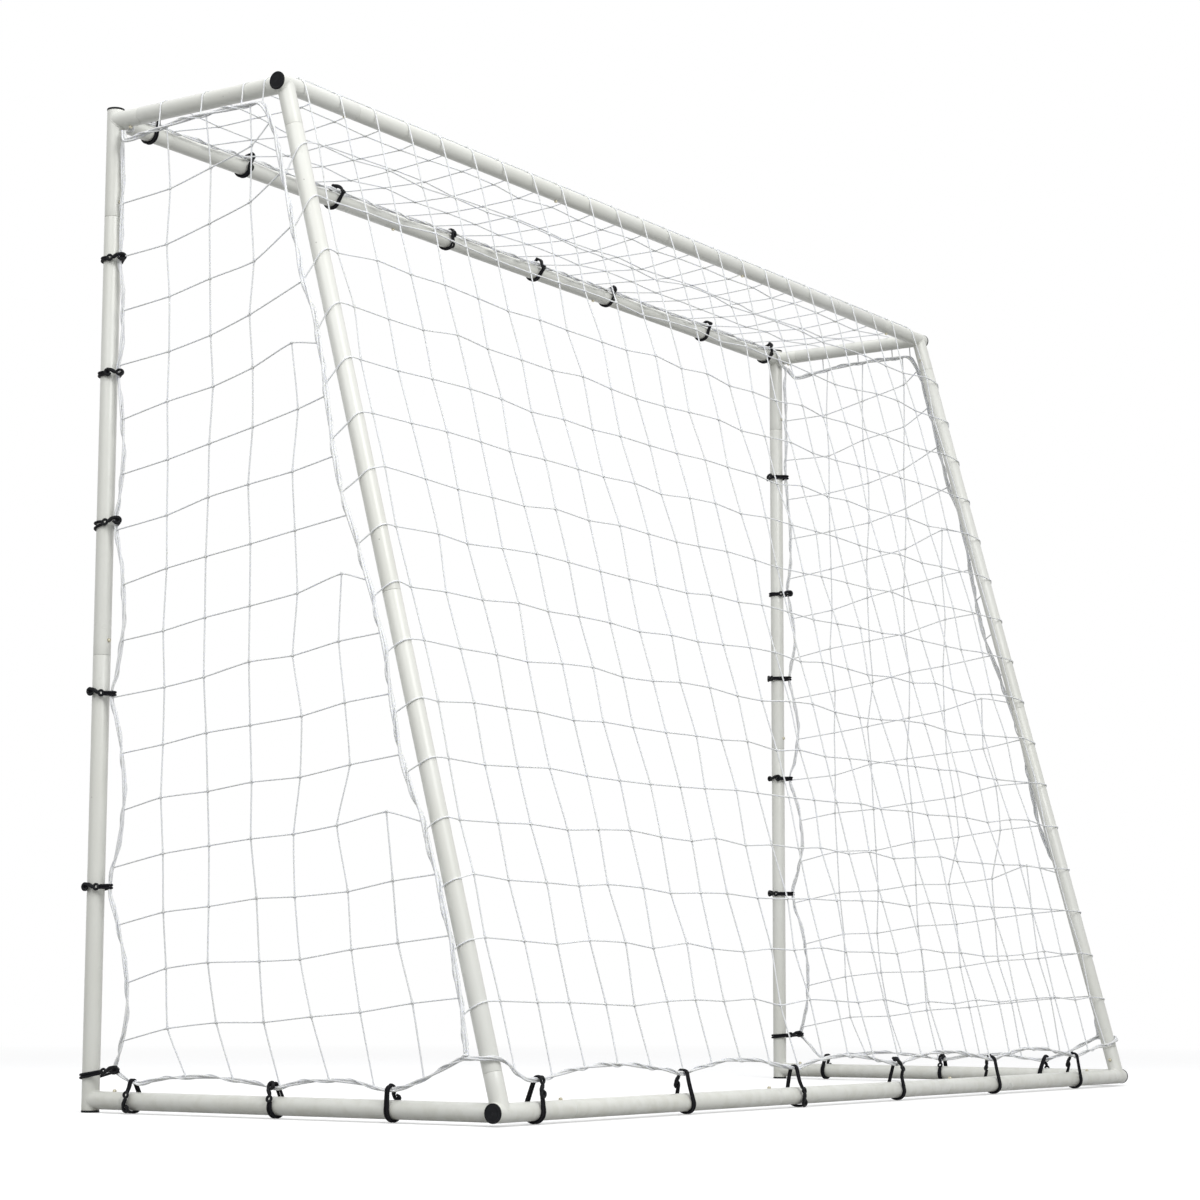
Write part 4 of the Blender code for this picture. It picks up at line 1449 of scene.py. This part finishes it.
    def wound(self, course: list[Vector], radius: float, turn: float, start: float) -> list[Vector]:
        """Course of a cord that winds round another course.

        Args:
            course: The points that it winds round.
            radius: How far it keeps from them.
            turn: Length of one turn.
            start: Angle at which it starts.

        Returns:
            The cord's points.
        """
        made = []
        length = 0.0
        for index, point in enumerate(course):
            after = course[min(index + 1, len(course) - 1)]
            before = course[max(index - 1, 0)]
            way = (after - before).normalized()
            side = way.cross(SKEW).normalized()
            angle = length / turn * math.tau + start
            ray = side * math.cos(angle) + way.cross(side) * math.sin(angle)
            made.append(point + ray * radius)
            length += (after - point).length
        return made


@dataclass
class NetCord:
    """Cord of the mesh: how a strand is drawn between its knots."""

    girth: float = 0.00140
    knot: float = 1.45  # thickness against the cord's
    rounding: float = 0.35  # in its knots
    steps: tuple = (0, 0.05, 0.18, 0.32, 0.46, 0.60, 0.74, 0.88)
    coil_radius: float = 0.0019
    coil_girth: float = 0.0013
    coil_length: float = 0.0030
    coil_turns: float = 1.3
    coil_points: int = 8
    coil_phase: float = 0.37

    def strand(self, paths: Paths, knots: list[Vector], tied: list[bool] | None = None) -> None:
        """Add one strand through its knots.

        Args:
            paths: Where it goes.
            knots: The points that it runs through.
            tied: Which of them are knots, or None for all.
        """
        ties = tied or [True] * len(knots)
        ease = [self.rounding if tie else 1.0 for tie in ties]
        points, marks = smooth_path(knots, list(self.steps), ease)
        knotted = [mark >= 0 and ties[mark] for mark in marks]
        paths.add(points, [self.girth * (self.knot if here else 1.0) for here in knotted])

    def coils(self, paths: Paths, knots: list[Vector]) -> None:
        """Add the coil that each knot of a row winds round the strands that cross in it.

        Args:
            paths: Where the coils go.
            knots: The row's knots in order.
        """
        for index, knot in enumerate(knots):
            ahead = knots[min(index + 1, len(knots) - 1)] - knots[max(index - 1, 0)]
            placed = axes(knot, ahead)
            points = []
            for step in range(self.coil_points):
                share = step / (self.coil_points - 1)
                turn = (self.coil_turns * share + index * self.coil_phase) * math.tau
                points.append(placed @ Vector((
                    self.coil_radius * math.cos(turn), self.coil_radius * math.sin(turn),
                    self.coil_length * (share - 0.5))))
            paths.add(points, self.coil_girth)


@dataclass
class SidePanel(Assembly):
    """One side of the net, from the post rope to the seam rope and down to the ground rope."""

    side: Side
    ropes: BorderRopes
    cord: NetCord
    rows: int = 16
    columns: int = 6
    bar_columns: int = 3  # that start at the side top bar
    rows_down: int = 4  # from one later column's start to the next
    first_row: float = 1.640
    first_row_way: float = 0.06
    post_way: float = 0.05
    row_pitch: float = 0.1023
    column_pitch: float = 0.102
    first_column: float = 0.148
    top_sags: tuple = (0.026, 0.0285, 0.026, 0.024, 0.007)  # of the first rows
    stretched: tuple = ((10, 0.020), (11, 0.035), (14, 0.008), (15, 0.024))  # row, way
    stretched_knot: int = 4  # that moves the whole way
    low_row: int = 10  # below it the panel hangs otherwise
    rising: tuple = (0.10, 0.17, 7)  # slope low down, more at the top, rows of fading
    drifting: tuple = (0.012, 0.045, 5)  # at the low row, at the last, rows between
    bulge: tuple = (0.004, 0.016)  # out from the frame, and more at the rear
    sag_spread: tuple = (0.6, 0.45)  # share of a sag at the post, and more at the rear
    front_lift: tuple = (0.014, 2, 2.6)  # height, rows of growth, columns of fading
    column_foot: tuple = (0.042, 0.004, 0.80)  # past the last knot, less a column, the most
    column_lean: float = 0.004
    start_dip: float = 0.014
    seam_room: float = 0.02
    wander: tuple = (0.007, 0.004, 0.006)  # of a knot: along, out, height
    seed: int = 5

    def rise(self, row: int) -> float:
        """Slope of a row toward the rear."""
        least, more, rows = self.rising
        return least + more * math.exp(-((row + 1) / rows) ** 2)

    def height(self, row: int, along: float) -> float:
        """Height of a row above the ground bars, at a distance behind the mouth."""
        rise = self.rise(row) * (along - self.first_row_way)
        return self.first_row - self.row_pitch * row + rise

    def drift(self, row: int) -> float:
        """How far a row's knots stand behind the columns' even places."""
        upper, lower, rows = self.drifting
        low = self.low_row
        return lower * ((row - low) / rows) if row > low else upper * row / low

    def first_column_row(self, column: int) -> int:
        """Row at which a column leaves the seam rope."""
        return max((column - self.bar_columns + 1) * self.rows_down, 0)

    def knots(self) -> list[list[Vector]]:
        """Knots of each row, from the post rope's to the seam rope's."""
        chance = random.Random(self.seed + self.side.value)
        along_off, out_off, height_off = self.wander
        grid = []
        for row in range(self.rows):
            fall = LAYOUT.mouth_height - self.height(row, self.post_way)
            points = [self.ropes.post_point(self.side, fall)]
            starts = [
                column for column in range(self.bar_columns, self.columns)
                if self.first_column_row(column) == row]
            dip = self.start_dip if starts else 0.0
            end = self.ropes.seam_at_height(
                self.side, lambda along: self.height(row, along) - dip)
            reach = end.y - LAYOUT.front_y
            stretch = dict(self.stretched).get(row, 0.0) / self.stretched_knot
            most, over_rows, over_columns = self.front_lift
            lift = most * clamped((row - self.low_row) / over_rows, 0, 1)
            for column in range(self.columns):
                along = self.first_column + self.column_pitch * column + self.drift(row)
                along += chance.uniform(-along_off, along_off) + stretch * column
                if row < self.first_column_row(column) or along > reach - self.seam_room:
                    break
                share = along / reach
                out = self.bulge[0] + self.bulge[1] * share + chance.uniform(-out_off, out_off)
                height = self.height(row, along) + chance.uniform(-height_off, height_off)
                if row < len(self.top_sags):
                    spread = self.sag_spread[0] + self.sag_spread[1] * share
                    height -= self.top_sags[row] * spread
                height += lift * max(1 - column / over_columns, 0)
                if column in starts:
                    height += self.start_dip
                points.append(LAYOUT.at(LAYOUT.beside(self.side, out), along, height))
            grid.append(points + [end])
        return grid

    def column_line(self, grid: list[list[Vector]], column: int) -> list[Vector]:
        """A column's knots, from the bar or the seam rope down to the ground rope.

        Args:
            grid: Knots of each row.
            column: The column's number.

        Returns:
            The knots, or none where the column has fewer than two of its own.
        """
        rows = grid[self.first_column_row(column):]
        line = [row[column + 1] for row in rows if len(row) > column + 2]
        if len(line) < 2:
            return []
        if column < self.bar_columns:
            top = line[0].y - LAYOUT.front_y - self.column_lean
            line.insert(0, self.ropes.seam_under_bar(self.side, top))
        ahead, less, last = self.column_foot
        foot = line[-1].y - LAYOUT.front_y + ahead - less * column
        return line + [self.ropes.ground_point(self.side, min(foot, last))]

    def build(self) -> None:
        """Build the panel."""
        grid = self.knots()
        paths = Paths()
        for row in grid:
            self.cord.strand(paths, row)
            self.cord.coils(paths, row[1:-1])
        for column in range(self.columns):
            line = self.column_line(grid, column)
            if line:
                self.cord.strand(paths, line)
        name = f"net_{self.side.label}"
        piece = link(name + "_mesh", paths.swept(name, self.tree, self.finishes.cord, Sides=6))
        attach(piece, "goal")
        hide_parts(name)
        LOG.info("side panel %s: %d strands", self.side.label, self.rows + self.columns)


@dataclass
class MainNet(Assembly):
    """The main net: over the top, down the rear, and round the side bars and stays."""

    ropes: BorderRopes
    cord: NetCord
    columns: int = 24
    pitch: float = 0.1017
    first_x: float = 1.185
    top_rows: tuple = (0.128, 0.229, 0.326)
    rear_rows: int = 16
    first_fall: float = 0.1218
    fall_pitch: float = 0.1042
    hug: float = 0.0178
    knot_lift: float = 0.0014
    crest_along: float = 0.376
    crest_turns: tuple = (84, 50, 20)  # degrees up from the rear
    top_sag: float = 0.020
    sag_gain: int = 4
    rear_off: float = 0.0185
    belly: float = 0.006
    low_end: tuple = (0.058, 0.005, 0.015)  # how much lower a row ends: first, less, least
    wander: tuple = (0.006, 0.006, 0.004)  # of a top knot: across, along, height
    rear_wander: tuple = (0.007, 0.006, 0.005)  # across, down, off the plane
    # out from a side top bar's axis and up; out from a stay's, off its plane, share of low_end
    round_bar: tuple = ((0.0186, -0.010), (0.0172, 0.005), (0.0126, 0.0126), (0.001, hug))
    round_post: tuple = (
        (0.0182, -0.006, 0.55), (0.0172, 0.005, 0.36), (0.0126, 0.0126, 0.20), (0.001, hug, 0.08))
    seed: int = 21

    def column_x(self) -> list[float]:
        """X of each column, from the right."""
        return evenly(self.first_x, -self.pitch, self.columns)

    def middle_share(self, x: float) -> float:
        """1 in the goal's middle, 0 at its sides."""
        return max(1 - (x / LAYOUT.side_x) ** 2, 0)

    def top_knot(self, x: float, along: float, chance: random.Random) -> Vector:
        """Knot of the top between the crossbar and the rear bar."""
        x_off, along_off, height_off = self.wander
        middle = clamped(self.middle_share(x) * self.sag_gain, 0, 1)
        sag = self.top_sag * math.sin(math.pi * along / LAYOUT.top_depth) * middle
        up = LAYOUT.mouth_height + self.hug - sag + chance.uniform(-height_off, height_off)
        across = x + chance.uniform(-x_off, x_off)
        return LAYOUT.at(across, along + chance.uniform(-along_off, along_off), up)

    def crest(self, x: float, degrees: float, lift: float) -> Vector:
        """Point where the net lies on the rear top bar, at an angle up from the rear."""
        turn = math.radians(degrees)
        reach = self.hug + lift
        back = LAYOUT.top_depth + reach * math.cos(turn)
        return LAYOUT.at(x, back, LAYOUT.mouth_height + reach * math.sin(turn))

    def rear_knot(self, x: float, fall: float, chance: random.Random) -> Vector:
        """Knot of the rear between the stays."""
        x_off, fall_off, depth_off = self.rear_wander
        middle = self.belly * self.middle_share(x)
        belly = middle * math.sin(math.pi * min(fall / LAYOUT.stay_length, 1))
        off = self.rear_off + belly + chance.uniform(-depth_off, depth_off)
        across = x + chance.uniform(-x_off, x_off)
        return LAYOUT.on_stay(across, fall + middle + chance.uniform(-fall_off, fall_off), off)

    def over_side_bar(self, side: Side, along: float) -> list[Vector]:
        """Way of a top row from the seam rope up round the side top bar."""
        return [self.ropes.seam_under_bar(side, along)] + [
            LAYOUT.at(LAYOUT.beside(side, out), along, LAYOUT.mouth_height + up)
            for out, up in self.round_bar]

    def row_fall(self, row: int) -> float:
        """A rear row's way down the stays."""
        return self.first_fall + self.fall_pitch * row

    def round_stay(self, side: Side, row: int) -> list[Vector]:
        """Way of a rear row from the seam rope round the outside of the stay."""
        first, step, least = self.low_end
        fall, low = self.row_fall(row), max(first - step * row, least)
        return [self.ropes.seam_on_stay(side, fall + low)] + [
            LAYOUT.on_stay(LAYOUT.beside(side, out), fall + low * share, off)
            for out, off, share in self.round_post]

    def row(
            self, paths: Paths, knots: list[Vector],
            way: Callable[[Side, float], list[Vector]], place: float) -> None:
        """Add a row with its way round the bars at both ends.

        Args:
            paths: Where it goes.
            knots: Its knots, from the right.
            way: Function from a side and the row's place to its way there from the seam rope.
            place: The row's place, as that function takes it.
        """
        first, last = way(Side.RIGHT, place), way(Side.LEFT, place)
        ends = [True] + [False] * (len(first) - 1)
        tied = ends + [True] * len(knots) + ends[::-1]
        self.cord.strand(paths, first + knots + last[::-1], tied)
        self.cord.coils(paths, knots)

    def build(self) -> None:
        """Build the main net."""
        chance = random.Random(self.seed)
        paths = Paths()
        xs = self.column_x()
        rows = []
        for along in self.top_rows:
            rows.append([self.top_knot(x, along, chance) for x in xs])
            self.row(paths, rows[-1], self.over_side_bar, along)
        top, middle, low = self.crest_turns
        rows.append([self.crest(x, top, self.knot_lift) for x in xs])
        self.row(paths, rows[-1], self.over_side_bar, self.crest_along)
        loose = range(len(rows) + 1, len(rows) + 3)
        rows += [[self.crest(x, turn, 0.0) for x in xs] for turn in (middle, low)]
        for row in range(self.rear_rows):
            rows.append([self.rear_knot(x, self.row_fall(row), chance) for x in xs])
            self.row(paths, rows[-1], self.round_stay, row)
        for index, x in enumerate(xs):
            line = [self.ropes.crossbar_point(LAYOUT.side_x - x)]
            line += [row[index] for row in rows] + [self.ropes.rear_point(LAYOUT.side_x - x)]
            self.cord.strand(paths, line, [place not in loose for place in range(len(line))])
        mesh = paths.swept("net_main", self.tree, self.finishes.cord, Sides=6)
        piece = link("net_main_mesh", mesh)
        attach(piece, "goal")
        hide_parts("net_rear", "net_top")
        LOG.info(
            "main net: %d columns, %d rows", len(xs), len(self.top_rows) + 1 + self.rear_rows)


@dataclass(frozen=True)
class Belt:
    """Closed course round a bar and the rope beside it, square to the bar."""

    bar: Vector
    axis: Vector
    rope: Vector
    big: float
    small: float

    @property
    def away(self) -> Vector:
        """From the bar's axis straight across to the rope."""
        gap = self.rope - self.bar
        return gap - self.axis * gap.dot(self.axis)

    @property
    def fold(self) -> float:
        """Angle at which the course leaves the bar."""
        return math.acos(min((self.big - self.small) / self.away.length, 1))

    @property
    def straight(self) -> float:
        """Length of a straight stretch between bar and rope."""
        return self.away.length * math.sin(self.fold)

    @property
    def length(self) -> float:
        """Length of the whole course."""
        return 2 * (self.straight + self.small * self.fold + self.big * (math.pi - self.fold))

    def at(self, travel: float) -> tuple[Vector, Vector]:
        """Point on the course, and its outward normal there.

        Args:
            travel: Way along the course from the rope's far side.

        Returns:
            The point and the normal.
        """
        toward = self.away.normalized()
        side = self.axis.cross(toward)
        travel %= self.length
        half = self.length / 2
        flip = 1.0
        if travel > half:
            travel, flip = self.length - travel, -1.0
        rope_arc = self.small * self.fold
        if travel < rope_arc + self.straight:
            angle = min(travel / self.small, self.fold)
            reach, centre = self.small, self.away.length
        else:
            angle = self.fold + (travel - rope_arc - self.straight) / self.big
            reach, centre = self.big, 0.0
        normal = toward * math.cos(angle) + side * math.sin(angle) * flip
        point = self.bar + toward * centre + normal * reach
        if rope_arc <= travel < rope_arc + self.straight:
            share = (travel - rope_arc) / self.straight
            low = self.bar + normal * self.big
            point = point.lerp(low, share)
        return point, normal


@dataclass(frozen=True)
class Loop:
    """How one tie lies: the way from the rope back to its hook, whether the eye comes first,
    how far the loop slants along its bar, and how far its two cords spread."""

    hook: float
    eye_first: bool = True
    slant: float = 0.0
    spread: float = 0.0002


@dataclass(frozen=True)
class Loops:
    """The goal's ties as they were tied by hand, in the order of their places."""

    crossbar: tuple = (
        Loop(-0.015), Loop(0.013, False, spread=0.001), Loop(-0.002), Loop(0.020, True, 0.004),
        Loop(0.001, False, spread=0.001), Loop(0.012), Loop(-0.008, False),
        Loop(0.006, spread=0.001))
    rear: tuple = (
        Loop(0.021, False, 0.002, 0.0011), Loop(-0.022, True, 0.020), Loop(0.061, False, 0.024),
        Loop(0.006, True, 0.014), Loop(-0.018, False, 0.018), Loop(-0.020, True, 0.012))
    posts: tuple = (
        (Loop(0.055), Loop(0.012), Loop(0.058, False), Loop(0.046), Loop(0.055, False),
         Loop(0.020, True, 0.006)),
        (Loop(0.012), Loop(0.013, False), Loop(0.012, True, 0.007, 0.0032),
         Loop(0.036, False, -0.005), Loop(0.039, False, 0.002), Loop(0.016, True, 0.012)))
    sides: tuple = (
        (Loop(-0.020), Loop(0.016), Loop(-0.016, False)),
        (Loop(0.042, False), Loop(0.018, True, 0.0, 0.0014), Loop(-0.020)))


@dataclass
class ElasticTies(Assembly):
    """Elastic loops that hold the ropes to the bars, each closed by a plastic hook with an eye."""

    cord: float = 0.00245
    rope: float = 0.0042
    gap: float = 0.0002
    apart: tuple = (0.62, 0.42)  # from the middle, in girths: at the ends, and more
    loop_steps: int = 52
    hook_length: float = 0.0350
    eye: tuple = (0.0060, 0.0, 0.0046)  # centre along and across, and radius
    eye_turns: range = range(0, 361, 30)
    eye_girth: float = 0.0024
    # points between eye and bend: way along, way across and girth
    neck: tuple = ((0.0130, 0.0004, 0.0033), (0.0168, 0.0024, 0.0038), (0.0206, 0.0048, 0.0036))
    bend: tuple = (0.0275, 0.0012, 0.0052)  # the same of the hook's bend
    bend_turns: range = range(115, -166, -28)
    tip_turn: int = -120  # past it the bend thins
    bend_girth: float = 0.0030
    tip_girth: float = 0.0023
    eye_way: float = 0.0015
    bend_way: float = 0.0270
    stiffness: float = 0.65
    fading: float = 0.014  # way past the hook in which its stiffness fades
    lift: float = 0.0030
    probe: float = 0.001
    loops: Loops = field(default_factory=Loops)

    def places(self, ropes: BorderRopes) -> list[tuple[Vector, Vector, Vector, Loop]]:
        """Each tie as a point on its bar's axis, the bar's direction, the point on the rope and
        its loop."""
        made = []
        for along, loop in zip(TIES.crossbar, self.loops.crossbar):
            bar = LAYOUT.at(LAYOUT.side_x - along, 0, LAYOUT.mouth_height)
            made.append((bar, RIGHT, ropes.crossbar_point(along), loop))
        for along, loop in zip(TIES.rear, self.loops.rear):
            bar = LAYOUT.at(LAYOUT.side_x - along, LAYOUT.ground_depth, 0)
            made.append((bar, RIGHT, ropes.rear_point(along), loop))
        for side in Side:
            x = side.value * LAYOUT.side_x
            for fall, loop in zip(side.pick(TIES.posts), side.pick(self.loops.posts)):
                bar = LAYOUT.at(x, 0, LAYOUT.mouth_height - fall)
                made.append((bar, UP, ropes.post_point(side, fall), loop))
            for along, loop in zip(side.pick(TIES.sides), side.pick(self.loops.sides)):
                bar = LAYOUT.at(x, along, 0)
                made.append((bar, -REAR, ropes.ground_point(side, along), loop))
        return made

    def arc(self, circle: tuple, angles: range) -> list[tuple[float, float]]:
        """Points on a circle, told as its centre's way along and across and its radius."""
        along, across, radius = circle
        turns = [math.radians(angle) for angle in angles]
        return [(along + radius * math.cos(a), across + radius * math.sin(a)) for a in turns]

    def hook_outline(self) -> list[tuple[float, float, float]]:
        """Course of the hook on the flat, as way along, way across and girth."""
        course = [(*point, self.eye_girth) for point in self.arc(self.eye, self.eye_turns)]
        course += self.neck
        for degrees, point in zip(self.bend_turns, self.arc(self.bend, self.bend_turns)):
            girth = self.bend_girth if degrees > self.tip_turn else self.tip_girth
            course.append((*point, girth))
        return course

    def laid(self, belt: Belt, loop: Loop, travel: float, across: float, lift: float) -> Vector:
        """Point of a tie: on its belt, but drawn out straight along the hook, and slanted.

        Args:
            belt: The tie's belt.
            loop: How the tie lies.
            travel: Way along the belt from the rope.
            across: Way along the bar.
            lift: Height over the cords' course.

        Returns:
            The point.
        """
        point, normal = belt.at(travel)
        centre = belt.length - loop.hook
        after, before = (belt.at(centre + way)[0] for way in (self.probe, -self.probe))
        ahead = (after - before).normalized()
        beside = (travel - centre + belt.length / 2) % belt.length - belt.length / 2
        held = clamped(beside, -self.hook_length / 2, self.hook_length / 2)
        fade = max(1 - (abs(beside) - abs(held)) / self.fading, 0)
        straight = belt.at(centre)[0] + ahead * held
        drawn = (straight - belt.at(centre + held)[0]) * self.stiffness * fade * fade
        lean = -loop.slant * (1 - math.cos(math.tau * travel / belt.length)) / 2
        return point + drawn + normal * lift + belt.axis * (across + lean)

    def add(self, elastic: Paths, hooks: Paths, belt: Belt, loop: Loop) -> None:
        """Add one tie's elastic and its hook.

        Args:
            elastic: Paths of the elastic cords.
            hooks: Paths of the hooks.
            belt: The tie's belt.
            loop: How the tie lies.
        """
        start = belt.length - loop.hook - self.hook_length / 2
        flat, girths = [], []
        for way, across, girth in self.hook_outline():
            reach = way if loop.eye_first else self.hook_length - way
            flat.append(self.laid(belt, loop, start + reach, across, self.lift))
            girths.append(girth)
        smooth, _ = smooth_path(flat, [0, 0.5])
        filled = []
        for here, after in zip(girths, girths[1:]):
            filled += [here, (here + after) / 2]
        hooks.add(smooth, filled + girths[-1:])

        low, high = self.eye_way, self.bend_way
        if not loop.eye_first:
            low, high = self.hook_length - high, self.hook_length - low
        first, last = start + high, start + low + belt.length
        least, more = (self.cord * share for share in self.apart)
        one, two = [], []
        for step in range(self.loop_steps + 1):
            share = step / self.loop_steps
            across = least + (more + loop.spread) * math.sin(math.pi * share) ** 0.5
            for run, sign in ((one, 1), (two, -1)):
                travel = first + (last - first) * share
                run.append(self.laid(belt, loop, travel, sign * across, 0.0))
        elastic.add(one[::-1] + two if loop.eye_first else one + two[::-1], self.cord)

    def build(self, ropes: BorderRopes) -> None:
        """Build the ties that hold the border ropes."""
        elastic, hooks = Paths(), Paths()
        places = self.places(ropes)
        big, small = LAYOUT.tube_radius + self.cord + self.gap, self.rope + self.cord
        for bar, axis, rope, loop in places:
            self.add(elastic, hooks, Belt(bar, axis, rope, big, small), loop)
        for name, paths, finish, sides in (
                ("tie_elastics", elastic, self.finishes.elastic, 8),
                ("tie_hooks", hooks, self.finishes.plastic, 10)):
            piece = link(name, paths.swept(name, self.tree, finish, Sides=sides))
            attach(piece, "goal")
        LOG.info("ties: %d", len(places))


# ---- studio


@dataclass
class Studio:
    """Camera, floor, lamps and surroundings."""

    position: tuple = (5.0162, 3.1749, 0.22246)
    yaw: float = 0.981885
    pitch: float = 0.134640
    roll: float = 0.002372
    lens: float = 85.83
    sensor: float = 36.0
    sight: float = 200.0
    floor_reach: float = 60.0
    floor_tones: tuple = ((0.80, 0.80, 0.80, 1), (0.83, 0.83, 0.83, 1))
    floor_dim: tuple = (0.30, 0.30, 0.29, 1)
    floor_glow: float = 0.30
    floor_fade: tuple = (2.2, 5.5)  # from where to where the floor turns white
    air: tuple = (0.98, 0.985, 1.0, 1)
    air_power: float = 0.56
    aim: tuple = (0.0, 0.0, 0.9)
    # name, place, size and power
    lamps: tuple = (
        ("key", (2.2, 4.3, 3.9), 3.0, 164),
        ("fill", (4.8, 0.4, 4.4), 3.5, 80),
        ("top", (0.0, -0.4, 5.5), 4.0, 55))

    def camera(self) -> None:
        """Stand the camera where the photograph was taken from."""
        data = bpy.data.cameras.new("camera")
        data.lens = self.lens
        data.sensor_width = self.sensor
        data.clip_end = self.sight
        made = in_scene("camera", data)
        level = math.cos(self.pitch)
        forward = Vector((
            -level * math.sin(self.yaw), -level * math.cos(self.yaw), math.sin(self.pitch)))
        right = forward.cross(UP).normalized()
        up = right.cross(forward)
        tilted = right * math.cos(self.roll) + up * math.sin(self.roll)
        above = -right * math.sin(self.roll) + up * math.cos(self.roll)
        matrix = Matrix((tilted, above, -forward)).transposed().to_4x4()
        matrix.translation = Vector(self.position)
        made.matrix_world = matrix
        bpy.context.scene.camera = made

    def floor(self) -> None:
        """Lay the pale floor, which shows white to the camera and keeps the goal's shadow."""
        shape = bmesh.new()
        bmesh.ops.create_grid(shape, x_segments=8, y_segments=8, size=self.floor_reach)
        floor = link("floor", shaded(shape, "floor"))
        n = Nodes("studio floor")
        tone = n.mix(n.noise(2.0, 2), *self.floor_tones)
        n.finish(Base_Color=tone, Roughness=0.9, Specular_IOR_Level=0.1)
        dim = n.node("ShaderNodeBsdfDiffuse", {"Color": self.floor_dim}).outputs[0]
        away = n.node("ShaderNodeVectorMath", {0: n.place()}, operation="LENGTH").outputs["Value"]
        glow, white = (
            n.node("ShaderNodeEmission", {"Color": WHITE, "Strength": power}).outputs[0]
            for power in (self.floor_glow, 1.0))
        lit = n.node("ShaderNodeAddShader", {0: n.shader.outputs[0], 1: glow}).outputs[0]
        fade = n.span(away, *self.floor_fade, 0.0, 1.0)
        far = n.node("ShaderNodeMixShader", {0: fade, 1: lit, 2: white}).outputs[0]
        show = n.node("ShaderNodeMixShader", {0: n.seen(), 1: dim, 2: far}).outputs[0]
        n.put(n.tree.nodes["Material Output"].inputs["Surface"], show)
        floor.data.materials.append(n.material)

    def world(self) -> None:
        """White surroundings to the camera, softer to the surfaces that they light."""
        world = bpy.data.worlds.new("studio")
        world.use_nodes = True
        bpy.context.scene.world = world
        calls = TreeCalls(world.node_tree)
        back = calls.tree.nodes["Background"]
        calls.put(back.inputs["Color"], self.air)
        calls.put(back.inputs["Strength"], self.air_power)
        white = calls.node("ShaderNodeBackground", {"Color": WHITE, "Strength": 1.0}).outputs[0]
        mixed = calls.node("ShaderNodeMixShader", {0: calls.seen(), 1: back.outputs[0], 2: white})
        calls.put(calls.tree.nodes["World Output"].inputs["Surface"], mixed.outputs[0])

    def lamp(self, name: str, place: tuple, size: float, power: float) -> None:
        """Hang one soft lamp that points at the goal."""
        data = bpy.data.lights.new(name, "AREA")
        data.shape = "SQUARE"
        data.size = size
        data.energy = power
        made = in_scene(name, data)
        made.location = place
        made.rotation_mode = "QUATERNION"
        way = Vector(self.aim) - Vector(place)
        made.rotation_quaternion = way.to_track_quat("-Z", "Y")

    def build(self) -> None:
        """Set up the studio."""
        self.camera()
        self.floor()
        self.world()
        for lamp in self.lamps:
            self.lamp(*lamp)
        bpy.context.scene.view_settings.view_transform = "Standard"
        LOG.info("studio: camera, floor and %d lamps", len(self.lamps))


def main() -> None:
    """Build the goal's pieces in order."""
    logging.basicConfig(level=logging.INFO, format="%(message)s")
    Studio().build()
    made_with = Finishes(), SweepTree()
    steel = SteelFrame(*made_with)
    steel.build()
    EndCaps(*made_with).build()
    SnapButtons(*made_with).build(steel.seams)
    ropes, cord = BorderRopes(*made_with), NetCord()
    for side in Side:
        SidePanel(*made_with, side, ropes, cord).build()
    MainNet(*made_with, ropes, cord).build()
    ropes.build()
    ElasticTies(*made_with).build(ropes)


if __name__ == "__main__":
    main()
